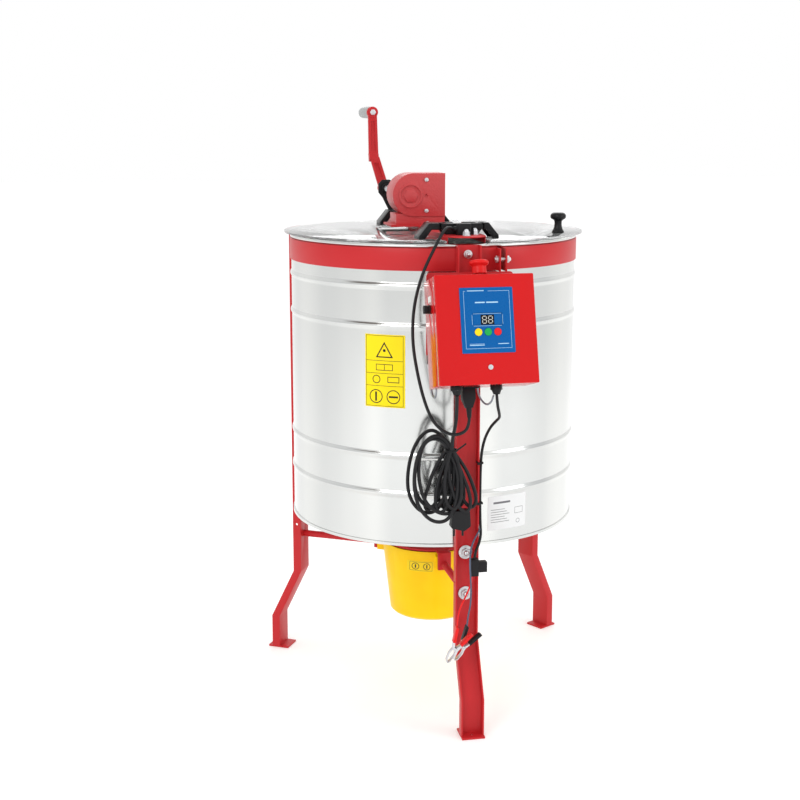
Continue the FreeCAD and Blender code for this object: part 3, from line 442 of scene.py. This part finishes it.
cable_black = cable_rubber("cable_black", (0.008, 0.008, 0.009))
belt_rubber = cable_rubber("belt_rubber", (0.012, 0.012, 0.012), 0.55)
wire_red = cable_rubber("wire_red", (0.55, 0.006, 0.006), 0.32)
wire_grey = cable_rubber("wire_grey", (0.060, 0.075, 0.115), 0.34)
print("rubbers are ready")


# %% Circuit board
def board_green(name):
    """Solder mask with darker tracks, crossed at right angles."""
    finish = Finish(name)
    tracks = finish.node("ShaderNodeTexBrick", {"offset": 0.5}, Vector=finish.where(), Scale=160.0)
    finish.sockets(Base_Color=finish.mix(tracks, (0.008, 0.10, 0.03), (0.02, 0.17, 0.05)),
                   Roughness=0.36, Normal=finish.bump(tracks, 0.1, 0.0002))
    return finish.material


solder_mask = board_green("solder_mask")

# %% [markdown]
# ## Printed labels
# A label is a thin printed film. Its marks are plain shapes, drawn as masks on the label's own
# place: across it in millimetres, and up it in millimetres. The drum's labels follow the wall, so
# across is measured along the arc.


# %% Label marks
class Sheet:
    """A label's own coordinates in millimetres, with shapes as masks."""

    def __init__(self, finish, across, up):
        self.finish = finish
        self.across = across
        self.up = up

    def rectangle(self, x, y, width, height):
        inside_x = abs(self.across - x).under(width / 2)
        inside_y = abs(self.up - y).under(height / 2)
        return inside_x * inside_y

    def frame(self, x, y, width, height, line):
        hole = self.rectangle(x, y, width - 2 * line, height - 2 * line)
        return self.rectangle(x, y, width, height) - hole

    def disc(self, x, y, radius):
        dx = self.across - x
        dy = self.up - y
        return (dx * dx + dy * dy).under(radius * radius)

    def ring(self, x, y, radius, line):
        return self.disc(x, y, radius) - self.disc(x, y, radius - line)

    def corner(self, x, y, width, height, radius):
        """The four square corners of a rectangle, which are left open in a rounded outline."""
        from_x = (abs(self.across - x) - (width / 2 - radius)).over(0.0)
        from_y = (abs(self.up - y) - (height / 2 - radius)).over(0.0)
        return from_x * from_y

    def triangle(self, x, y, size):
        """Triangle that stands on its base, with its middle at x, y."""
        drop = (self.up - y) + size * 0.45
        slope = abs(self.across - x) * 1.75 + drop
        return drop.over(0.0) * slope.under(size)


def printed(name, ground, inks, across_up, dull=0.34):
    """A printed film: each ink is a colour and the marks drawn in it, laid one over another."""
    finish = Finish(name)
    finish.shader.inputs["Specular IOR Level"].default_value = 0.15
    sheet = Sheet(finish, *across_up(finish))
    fibre = finish.noise(500.0, 2.0)
    print_colour = finish.mix(fibre, ground, tuple(c * 0.93 for c in ground))
    for ink, marks in inks:
        total = None
        for mark in marks(sheet):
            total = mark if total is None else total.most(mark)
        print_colour = finish.mix(total.clamped(), print_colour, ink)
    finish.sockets(Base_Color=print_colour, Roughness=dull + fibre * 0.08,
                   Normal=finish.bump(fibre, 0.03, 0.0002))
    return finish.material


LABEL_RADIUS = 325.5


def wall_place(start_angle, base):
    """Arc length and height in millimetres from a corner of a label on the drum's wall."""

    def place(finish):
        x, y, z = finish.axes()
        angle = finish.node("ShaderNodeMath", {"operation": "ARCTAN2"}, x, 0.0 - y)
        return (angle - math.radians(start_angle)) * LABEL_RADIUS, (z - base) * 1000.0
    return place


# %% The two drum labels and the small ones
def care_marks(s):
    yield s.frame(44, 78, 84, 152, 1.0)
    for line in (46.0, 73.0, 100.0):
        yield s.rectangle(44, line, 84, 1.0)
    yield s.triangle(44, 122, 34) - s.triangle(44, 121, 26)
    yield s.disc(44, 122, 3.2)
    yield s.frame(44, 86, 38, 14, 1.4)
    yield s.rectangle(44, 86, 1.4, 14)
    yield s.ring(26, 60, 9, 1.8)
    yield s.frame(64, 60, 26, 13, 1.6)
    yield s.ring(25, 23, 15, 2.0)
    yield s.ring(64, 23, 15, 2.0)
    yield s.rectangle(25, 23, 4, 20)
    yield s.rectangle(64, 23, 20, 4)


def rating_marks(s):
    yield s.rectangle(34, 60, 42, 4.5)
    for row in range(6):
        yield s.rectangle(24 + (row % 3) * 3, 45 - row * 5.5, 34 + (row % 3) * 6, 1.1)
    yield s.frame(78, 38, 22, 14, 0.8)
    yield s.ring(76, 14, 5, 0.9)


def bucket_marks(s):
    yield s.frame(0, 0, 52, 22, 0.7)
    for x in (-13, 13):
        yield s.ring(x, 0, 8.5, 1.6)
        yield s.rectangle(x, 0, 3, 9)


def bucket_place(finish):
    x, y, z = finish.axes()
    return (x + 0.047) * 1060.0, (z - 0.283) * 1000.0


care_label = printed("care_label", (0.93, 0.74, 0.01), [((0.02, 0.02, 0.02), care_marks)],
                     wall_place(-38.5, 0.702))
rating_label = printed("rating_label", (0.76, 0.77, 0.77), [((0.16, 0.16, 0.17), rating_marks)],
                       wall_place(9.2, 0.429))
bucket_label = printed("bucket_label", (0.93, 0.66, 0.02), [((0.03, 0.03, 0.03), bucket_marks)],
                       bucket_place)
print("labels are printed")

# %% [markdown]
# ## Taking a CAD part over
# Most of the frame's parts have the right shape, but real sheet and castings have no knife
# edges. A copy of the part is merged, its flat faces are made whole again, and the sharp edges
# get a small bevel, which catches the light.


# %% Edge finishing
def take_over(node, finish, edge=0.0006, segments=2, angle=32):
    copy = nodes[node].copy()
    copy.data = nodes[node].data.copy()
    copy.parent = None
    for key in list(copy.keys()):
        del copy[key]
    bpy.context.scene.collection.objects.link(copy)
    edit(copy)
    bpy.ops.mesh.select_all(action="SELECT")
    bpy.ops.mesh.remove_doubles(threshold=0.00001)
    bpy.ops.mesh.dissolve_limited(angle_limit=math.radians(0.4))
    done()
    if edge:
        round_edges(copy, edge, segments, angle)
    else:
        smooth(copy, angle)
    name_it(copy, node + "_finished", finish)
    return stands_for(copy, node)


def repaint(obj, finish, test):
    """Gives the faces that pass the test a second finish."""
    obj.data.materials.append(finish)
    index = len(obj.data.materials) - 1
    for face in obj.data.polygons:
        if test(face.center):
            face.material_index = index


# %% The painted frame
for node in ("leg_front", "leg_rear_left", "leg_rear_right"):
    take_over(node, frame_red, 0.0012, 3)
take_over("hoop_band", frame_red, 0.0005)
take_over("under_frame", frame_red, 0.0010)
take_over("cross_beam", frame_red, 0.0014, 3)
take_over("box_bracket", frame_red, 0.0008)
arm = take_over("crank_arm", frame_red, 0.0014, 3)
BOSS_FACE = 0.3578
BOSS_BACK = 0.372
# the grip's pin is bare metal on both sides of the painted arm
repaint(arm, zinc, lambda c: c.y < BOSS_FACE and c.z > 1.3 or c.y > BOSS_BACK)
print("painted frame is finished")

# %% Castings, box and bearings
take_over("gearbox_housing", cast_red, 0.0022, 3)
take_over("gearbox_cover", cast_red, 0.0011, 3)
take_over("box_case", box_red, 0.0010, 3)
take_over("box_cover", box_red, 0.0008, 3)
take_over("bearing_blocks", black_plastic, 0.0008)
take_over("frame_bolts", zinc, 0.0004)
print("castings and bolts are finished")

# %% Inner and small parts
take_over("drum_floor", basket_steel, 0.0004)
take_over("basket_frame", basket_steel, 0.0006)
take_over("basket_screens", basket_steel, 0)
take_over("basket_shaft", shaft_steel, 0.0008)
take_over("basket_gear", shaft_steel, 0.0002)
take_over("basket_pulley", black_plastic, 0.0004)
take_over("crank_gear", shaft_steel, 0.0002)
take_over("crank_shaft", shaft_steel, 0.0008)
take_over("motor_pulley", shaft_steel, 0.0003)
take_over("drive_belt", belt_rubber, 0.0003)
take_over("drive_motor", black_plastic, 0.0015)
take_over("circuit_board", solder_mask, 0.0002)
take_over("honey_gate_spout", drum_steel, 0.0006)
take_over("gate_flap", drum_steel, 0.0010)
take_over("cord_hooks", hook_steel, 0)
take_over("cable_ties", black_plastic, 0.0002)
print("inner parts are finished")

# %% Plastic parts
take_over("motor_cover", yellow_plastic, 0.0010, 3)
take_over("lid_left", lens_clear, 0.0008)
take_over("lid_right", lens_clear, 0.0008)
for node in ("hinge_bases", "hinge_leaves_left", "hinge_leaves_right"):
    take_over(node, shiny_black, 0.0012, 3)
take_over("lid_sensor", black_plastic, 0.0008)
take_over("lid_sensor_plug", black_plastic, 0.0010, 3)
take_over("mains_plug", black_plastic, 0.0012, 3)
take_over("blade_fuse_holder", black_plastic, 0.0012, 3)
take_over("fuse_cap", shiny_black, 0.0008, 3)
fittings = take_over("box_fittings", black_plastic, 0.0005)
repaint(fittings, zinc, lambda c: c.z > 0.985 or c.y < -0.49)
take_over("key_mode", moulded("key_yellow", (0.85, 0.55, 0.01), 0.25), 0.0002)
take_over("key_start", moulded("key_green", (0.01, 0.30, 0.06), 0.25), 0.0002)
take_over("key_stop", moulded("key_red", (0.62, 0.012, 0.016), 0.25), 0.0002)
take_over("e_stop_head", red_plastic, 0.0012, 3)
take_over("crank_grip", grip_grey, 0.0006)
print("plastic parts are finished")

# %% Clips and labels
JAW_START = -0.0318
CLIPS = (("red", red_plastic, (-0.021, -0.412, 0.243), 29.5),
         ("black", black_plastic, (0.005, -0.391, 0.235), 34.0))
for colour, sleeve, place, lean in CLIPS:
    axis = Vector((math.sin(math.radians(lean)), 0, math.cos(math.radians(lean))))
    for half in ("lower", "upper"):
        jaw = take_over(f"clip_{colour}_{half}", sleeve, 0.0003)
        repaint(jaw, zinc, lambda c: (c - Vector(place)).dot(axis) < JAW_START)
labels = take_over("labels", care_label, 0)
repaint(labels, rating_label, lambda c: c.x > 0.03)
repaint(labels, bucket_label, lambda c: c.z < 0.35)
repaint(labels, white_plastic, lambda c: c.y < -0.35 and c.z > 0.9)
print("clips and labels are finished")

# %% [markdown]
# ## The drum
# The wall is one sheet rolled to a cylinder. Pressed beads stiffen it and its top edge is rolled
# over a wire. Its profile is drawn once as a line of points and spun about the axis, which gives
# a wall that reflects without facets. Solidify then gives the sheet its thickness.

# %% Drum profile
MM = 0.001
DRUM_R = 0.325
SHEET = 0.0014
HEM = 0.0025
RIM_ROLL = 0.004
OUTLET_Z = 0.436
OUTLET_R = 0.020
BEADS = (0.514, 0.598, 0.876, 0.961)
BEAD_HALF = 0.008
BEAD_DEPTH = 0.003
drum_low, drum_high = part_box("drum_shell")
profile = [(DRUM_R + HEM, drum_low.z), (DRUM_R + HEM, drum_low.z + 0.006),
           (DRUM_R, drum_low.z + 0.007)]
# rings of points beside each bend keep the wall between them flat
profile += [(DRUM_R, drum_low.z + lift) for lift in (0.008, 0.010, 0.014)]
for level in BEADS:
    profile += [(DRUM_R, level - BEAD_HALF - gap) for gap in (0.006, 0.003, 0.0008)]
    for step in range(11):
        t = step / 10
        profile.append((DRUM_R + BEAD_DEPTH * math.sin(math.pi * t) ** 1.3,
                        level + BEAD_HALF * (2 * t - 1)))
    profile += [(DRUM_R, level + BEAD_HALF + gap) for gap in (0.0008, 0.003, 0.006)]
rim_z = drum_high.z - RIM_ROLL
profile += [(DRUM_R, rim_z - 0.012), (DRUM_R, rim_z - 0.007)]
for step in range(15):
    turn = math.radians(-60 + 300 * step / 14)
    profile.append((DRUM_R - 0.001 + RIM_ROLL * math.cos(turn), rim_z + RIM_ROLL * math.sin(turn)))


# %% Spin the wall
def spin_profile(name, points, steps, finish):
    """Spins a line of (radius, height) points once about the upright axis."""
    bpy.ops.mesh.primitive_plane_add(size=0.01)
    obj = bpy.context.object
    edit(obj)
    bpy.ops.mesh.select_all(action="SELECT")
    bpy.ops.mesh.delete(type="VERT")
    done()
    mesh = bpy.data.meshes.new(name)
    lines = [(i, i + 1) for i in range(len(points) - 1)]
    mesh.from_pydata([(r, 0.0, z) for r, z in points], lines, [])
    obj.data = mesh
    edit(obj)
    bpy.ops.mesh.select_all(action="SELECT")
    bpy.ops.mesh.spin(steps=steps, angle=2 * math.pi, center=(0, 0, 0), axis=(0, 0, 1))
    bpy.ops.mesh.select_all(action="SELECT")
    bpy.ops.mesh.remove_doubles(threshold=0.00002)
    bpy.ops.mesh.normals_make_consistent(inside=False)
    done()
    return name_it(obj, name, finish)


drum_wall = spin_profile("drum_wall", profile, 220, drum_steel)
apply_modifier(drum_wall, "SOLIDIFY", thickness=SHEET, offset=-1.0, use_even_offset=True)
bpy.ops.mesh.primitive_cylinder_add(vertices=48, radius=OUTLET_R, depth=0.06,
                                    location=(0, DRUM_R, OUTLET_Z),
                                    rotation=(math.radians(90), 0, 0))
outlet_cutter = bpy.context.object
bake(outlet_cutter)
apply_modifier(drum_wall, "BOOLEAN", operation="DIFFERENCE", object=outlet_cutter, solver="EXACT")
bpy.data.objects.remove(outlet_cutter)
smooth(drum_wall, 50)
stands_for(drum_wall, "drum_shell")
print("drum wall:", len(drum_wall.data.polygons), "faces")

# %% [markdown]
# The lid's knob is a turned piece: a foot, a thin neck and a dished cap. It is spun from its own
# profile in the same way and then moved to its place on the lid.

# %% Lid knob
knob_low, knob_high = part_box("lid_knob")
knob_tall = knob_high.z - knob_low.z
KNOB_DRAWN = 0.044
knob_line = [(0.0, 0.0), (13.0, 0.0), (13.6, 1.2), (13.2, 3.0), (11.6, 5.2), (9.6, 9.0),
             (8.4, 14.0), (8.0, 20.0), (8.4, 25.0), (10.4, 28.0), (14.4, 30.0), (16.6, 32.0),
             (17.5, 35.0), (17.3, 38.0), (15.8, 41.0), (13.4, 43.0), (11.0, 44.0), (8.0, 43.6),
             (4.0, 43.2), (0.0, 43.0)]
knob_points = [(r * MM, z * MM * knob_tall / KNOB_DRAWN) for r, z in knob_line]
knob = spin_profile("knob_turned", knob_points, 64, shiny_black)
knob.location = ((knob_low.x + knob_high.x) / 2, (knob_low.y + knob_high.y) / 2, knob_low.z)
bake(knob)
smooth(knob, 60)
stands_for(knob, "lid_knob")

# %% [markdown]
# ## The control panel
# The panel is a printed film. It carries a display window with two seven-segment digits and
# three keys. The digits are raised bars, so they are modelled, and the film's border, its rows
# and the dark window are printed.

# %% The box's own axes
TILT = math.radians(15.0)
WINDOW_Z = 18.5
BOX_AT = Vector((0.004, -0.475, 0.894))
ACROSS = Vector((1, 0, 0))
INTO = Vector((0, math.cos(TILT), -math.sin(TILT)))
UP = Vector((0, math.sin(TILT), math.cos(TILT)))


def on_box(x, y, z):
    """Millimetres across, into and up the tilted box, as a place in metres."""
    return BOX_AT + ACROSS * x * MM + INTO * y * MM + UP * z * MM


def box_place(finish):
    x, y, z = finish.axes()
    across = (x - BOX_AT.x) * 1000.0
    up = ((y - BOX_AT.y) * UP.y + (z - BOX_AT.z) * UP.z) * 1000.0
    return across, up


def panel_marks(s):
    yield s.frame(2.0, 18.5, 94, 115, 0.6) - s.rectangle(-18, 76, 46, 3)
    yield s.rectangle(-20, 76.5, 34, 1.6)
    yield s.rectangle(-12, 53.0, 20, 2.4)
    yield s.rectangle(13, 53.0, 24, 2.4)
    yield s.frame(1.6, 18.4, 63, 25, 0.6) * (1.0 - s.corner(1.6, 18.4, 63, 25, 3.0))
    yield s.rectangle(-22, -29.5, 30, 0.6)
    yield s.rectangle(-22, -32, 30, 1.5)
    yield s.rectangle(32, -30, 22, 1.5)


def window_marks(s):
    yield s.rectangle(1.85, WINDOW_Z, 27.7, 20.0)


panel_inks = [((0.40, 0.62, 0.78), panel_marks), ((0.006, 0.006, 0.007), window_marks)]
panel_blue = printed("panel_film", (0.0, 0.10, 0.34), panel_inks, box_place, 0.24)
take_over("panel_plate", panel_blue, 0.0002)
print("panel is printed")


# %% Seven-segment digits
BAR_WIDTH = 1.5
BAR_DEPTH = 0.6
BAR_BEVEL = 0.0006


def segment(x, z, length, upright):
    """One bar of a digit: a block whose ends are drawn in to points."""
    bpy.ops.mesh.primitive_cube_add(size=1.0)
    bar = bpy.context.object
    size = (BAR_WIDTH, BAR_DEPTH, length) if upright else (length, BAR_DEPTH, BAR_WIDTH)
    for vertex in bar.data.vertices:
        v = vertex.co
        vertex.co = on_box(x + v.x * size[0], -0.5 + v.y * size[1], z + v.z * size[2])
    apply_modifier(bar, "BEVEL", width=BAR_BEVEL, segments=1)
    return bar


bars = []
for centre in (-4.3, 8.0):
    for dz in (-7.0, 0.0, 7.0):
        bars.append(segment(centre, WINDOW_Z + dz, 6.0, False))
    for dx in (-4.0, 4.0):
        for dz in (-3.5, 3.5):
            bars.append(segment(centre + dx, WINDOW_Z + dz, 5.2, True))
digit_grey = moulded("digit_grey", (0.50, 0.50, 0.46), 0.35, 900.0, 0.02)
digits = name_it(join(bars), "display_digits", digit_grey)
goes_with(digits, "panel_plate")
print("digits:", len(digits.data.polygons), "faces")

# %% [markdown]
# ## Cords
# Each cord is one smooth line along the points of its route, with its real thickness. The
# routes are written in millimetres, as the part's own routes are.


# %% Cord maker
def lay_cord(name, diameter, route, finish):
    curve = bpy.data.curves.new(name, "CURVE")
    curve.dimensions = "3D"
    curve.bevel_depth = diameter / 2
    curve.bevel_resolution = 5
    curve.resolution_u = 8
    curve.use_fill_caps = True
    spline = curve.splines.new("NURBS")
    spline.points.add(len(route) - 1)
    for point, place in zip(spline.points, route):
        point.co = (*place, 1.0)
    spline.order_u = 3
    spline.use_endpoint_u = True
    curve.materials.append(finish)
    obj = bpy.data.objects.new(name, curve)
    bpy.context.scene.collection.objects.link(obj)
    return obj


def metres(points):
    return [tuple(v * MM for v in point) for point in points]


# %% Lid sensor cable
relief_end = on_box(-31, 60, -172)
sensor_route = [tuple(relief_end)] + metres([
    (-29.5, -466, 695), (-41, -468, 683), (-60, -466, 679), (-80, -461, 686), (-98, -453, 703),
    (-110, -443, 730), (-119, -431, 765), (-126, -418, 806), (-131, -406, 850), (-130, -394, 892),
    (-124, -383, 932), (-113, -373, 970), (-98, -364, 1006), (-80, -356, 1038), (-63, -344, 1064),
    (-49, -328, 1080), (-37, -310, 1084), (-22, -294, 1079)])
sensor_cord = lay_cord("sensor_cable", 0.0065, sensor_route, cable_black)
stands_for(sensor_cord, "lid_sensor_cable")
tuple(sensor_route[0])

# %% [markdown]
# The mains lead comes down from its gland and is folded into loops that a tie holds at the top.
# Narrow lobes hang straight down from the tie. A few wide loops rise over the tie and fall to the
# left, as a stiff rubber lead does when it is tied up by hand.

# %% Mains lead and its loops
gland_low = on_box(-62, 27, -128)
TIE = Vector((-0.050, -0.400, 0.632))
WIDE_LOOP = ((0, 0), (-16, 26), (-41, 38), (-65, 22), (-80, -20), (-85, -74), (-73, -118),
             (-46, -147), (-17, -150), (0, -128), (9, -88), (8, -42))
STRAY = 0.0014
# A narrow lobe is its lean in degrees, its length and its width. A wide loop is marked by a
# length under 2: that number is then its size, and the last one is its turn in degrees.
LOBES = ((2, 128, 46), (-24, 1.00, 0), (16, 134, 44), (-33, 0.90, 8), (-12, 138, 44),
         (-24, 0.80, -6), (22, 132, 44), (-2, 134, 40), (-19, 136, 40), (10, 122, 42),
         (-6, 126, 50), (-14, 0.95, -5))
random.seed(7)


def loose(place):
    """No hand-laid loop is exact, so each place strays by about a millimetre."""
    return place + Vector((random.uniform(-1, 1), 0, random.uniform(-1, 1))) * STRAY


def wide_points(depth, size, turn):
    """A wide loop that rises over the tie, falls to the left and comes back beside the leg."""
    turn = math.radians(turn)
    for x, z in WIDE_LOOP:
        yield loose(TIE + Vector((x * math.cos(turn) - z * math.sin(turn), 0,
                                  x * math.sin(turn) + z * math.cos(turn))) * size * MM + depth)


def lobe_points(depth, lean, length, width, side):
    """A narrow lobe that hangs from the tie and comes back to it."""
    lean = math.radians(lean)
    along = Vector((math.sin(lean), 0, -math.cos(lean)))
    across = Vector((math.cos(lean), 0, math.sin(lean)))
    for step in range(13):
        t = step / 13
        reach = length * MM * (1 - math.cos(2 * math.pi * t)) / 2
        fullness = 0.45 + 0.55 * reach / (length * MM)
        spread = side * width * MM / 2 * math.sin(2 * math.pi * t) * fullness
        yield loose(TIE + along * reach + across * spread + depth)


mains_route = [gland_low]
mains_route += [Vector(p) for p in metres([(-54.5, -467, 719), (-53, -448, 690), (-51, -420, 664)])]
for index, (lean, length, width) in enumerate(LOBES):
    knot = Vector((0.005 * math.sin(2.1 * index), -0.0115 + 0.0021 * index,
                   0.004 * math.cos(1.7 * index)))
    if length < 2:
        mains_route += wide_points(knot, length, width)
    else:
        mains_route += lobe_points(knot, lean, length, width, 1 if index % 2 else -1)
mains_route += [Vector(p) for p in metres([(-42, -393, 615), (-37, -395, 580), (-35, -398, 545),
                                           (-34, -398, 522), (-34, -398, 505)])]
mains_cord = lay_cord("mains_lead", 0.0075, mains_route, cable_black)
stands_for(mains_cord, "mains_cord")
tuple(mains_route[0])

# %% Tie round the loops
bpy.ops.mesh.primitive_torus_add(major_segments=40, minor_segments=8, major_radius=0.0125,
                                 minor_radius=0.0016, location=TIE, rotation=(0, 0, 0))
tie_ring = bpy.context.object
tie_ring.scale = (1.0, 1.25, 1.4)
bake(tie_ring)
bpy.ops.mesh.primitive_cube_add(size=1.0, location=TIE + Vector((0.019, -0.012, 0.008)),
                                rotation=(0, math.radians(55), 0))
tie_tail = bpy.context.object
tie_tail.scale = (0.0035, 0.0014, 0.026)
bake(tie_tail)
round_edges(tie_tail, 0.0003)
hank_tie = name_it(join([tie_ring, tie_tail]), "hank_tie", black_plastic)
smooth(hank_tie, 40)
goes_with(hank_tie, "cable_ties")
print("loops and tie are laid")

# %% [markdown]
# The battery lead drops from its own gland, swings past the hook and runs down the flange of the
# front leg to an in-line fuse. Two thin wires go on to the battery clips.

# %% Battery lead and wires
lead_gland = on_box(23, 40, -128)
lead_start = [tuple(lead_gland), tuple(lead_gland + Vector((0.003, 0.004, -0.024)))]
lead_route = lead_start + metres([
    (39, -448, 716), (46, -426, 702), (46, -401, 690), (41, -377, 673), (34, -357, 645),
    (29.8, -346, 612), (28.8, -342.4, 572), (28.6, -341.8, 528), (28.8, -342.2, 484),
    (28.8, -346, 454), (27.5, -357, 432), (19, -369, 414), (10, -377, 402), (8, -379, 388)])
lead = lay_cord("battery_cable", 0.006, lead_route, cable_black)
stands_for(lead, "battery_lead")
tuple(lead_route[0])
red_route = metres([(3, -379, 352), (1, -381, 338), (-5, -384, 322), (-16, -392, 306),
                    (-28, -403, 292), (-35, -411, 275), (-37, -412, 249), (-39.5, -412, 231)])
red_lead = lay_cord("red_wire", 0.0036, red_route, wire_red)
stands_for(red_lead, "battery_wire_red")
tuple(red_route[0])
grey_route = metres([(27.5, -350, 446), (22, -358, 440), (10, -374, 432), (0, -386, 420),
                     (-5, -393, 404), (-6, -395, 380), (-4, -396, 350), (-3, -396, 320),
                     (-4, -396, 292), (-8, -392, 268), (-10.2, -391, 243), (-14, -391, 225)])
grey_lead = lay_cord("grey_wire", 0.0036, grey_route, wire_grey)
stands_for(grey_lead, "battery_wire_black")
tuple(grey_route[0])
print("cords are laid")

# %% [markdown]
# ## The studio
# A pale floor, a white sky and three large soft lights. Bright steel shows only what stands
# round it, so the sky has one dark gap, which the slopes of the beads mirror as thin lines, and
# two greyer walls at the sides. The floor gives a little light of its own and so meets the sky
# without a horizon.


# %% Floor and sky
bpy.ops.mesh.primitive_plane_add(size=60.0, location=(0, 0, -0.0005))
floor = bpy.context.object
floor_finish = Finish("studio_floor")
floor_tones = floor_finish.mix(floor_finish.noise(0.6), (0.90, 0.90, 0.90), (0.88, 0.88, 0.88))
floor_finish.sockets(Base_Color=floor_tones, Roughness=0.7)
floor_finish.shader.inputs["Specular IOR Level"].default_value = 0.0
floor_finish.shader.inputs["Emission Color"].default_value = (0.20, 0.20, 0.20, 1.0)
floor_finish.shader.inputs["Emission Strength"].default_value = 1.0
name_it(floor, "studio_floor", floor_finish.material)
world = bpy.data.worlds.new("studio_sky")
world.use_nodes = True
bpy.context.scene.world = world
sky = Nodes(world.node_tree)
towards = sky.tree.nodes.new("ShaderNodeTexCoord")
to_x, to_y, to_z = sky.split(towards.outputs["Generated"])
gap_height = ((to_z - 0.46) * 12.0).clamped() * ((0.74 - to_z) * 12.0).clamped()
gap_width = ((0.02 - to_x) * 5.0).clamped() * ((0.10 - to_y) * 5.0).clamped()
beside = ((abs(to_x) - 0.80) * 4.0).clamped() * ((0.3 - to_y) * 3.0).clamped()
walls = sky.mix(beside, (1.0, 1.0, 1.0), (0.80, 0.81, 0.83))
sky.fill(world.node_tree.nodes["Background"].inputs["Color"],
         sky.mix(gap_height * gap_width * 0.9, walls, (0.10, 0.065, 0.05)))
bpy.context.scene.view_settings.view_transform = "Standard"


# %% Lights
def softbox(name, place, target, size, power):
    data = bpy.data.lights.new(name, "AREA")
    data.shape = "RECTANGLE"
    data.size, data.size_y = size
    data.energy = power
    lamp = bpy.data.objects.new(name, data)
    lamp.location = place
    lamp.rotation_euler = (Vector(target) - Vector(place)).to_track_quat("-Z", "Y").to_euler()
    bpy.context.scene.collection.objects.link(lamp)


softbox("key_light", (-2.8, -3.4, 2.9), (0, 0, 0.6), (2.2, 2.2), 60)
softbox("fill_light", (3.2, -2.4, 2.2), (0, 0, 0.6), (1.6, 2.4), 30)
softbox("back_light", (0.8, 2.8, 2.8), (0, 0, 0.9), (2.6, 1.6), 25)
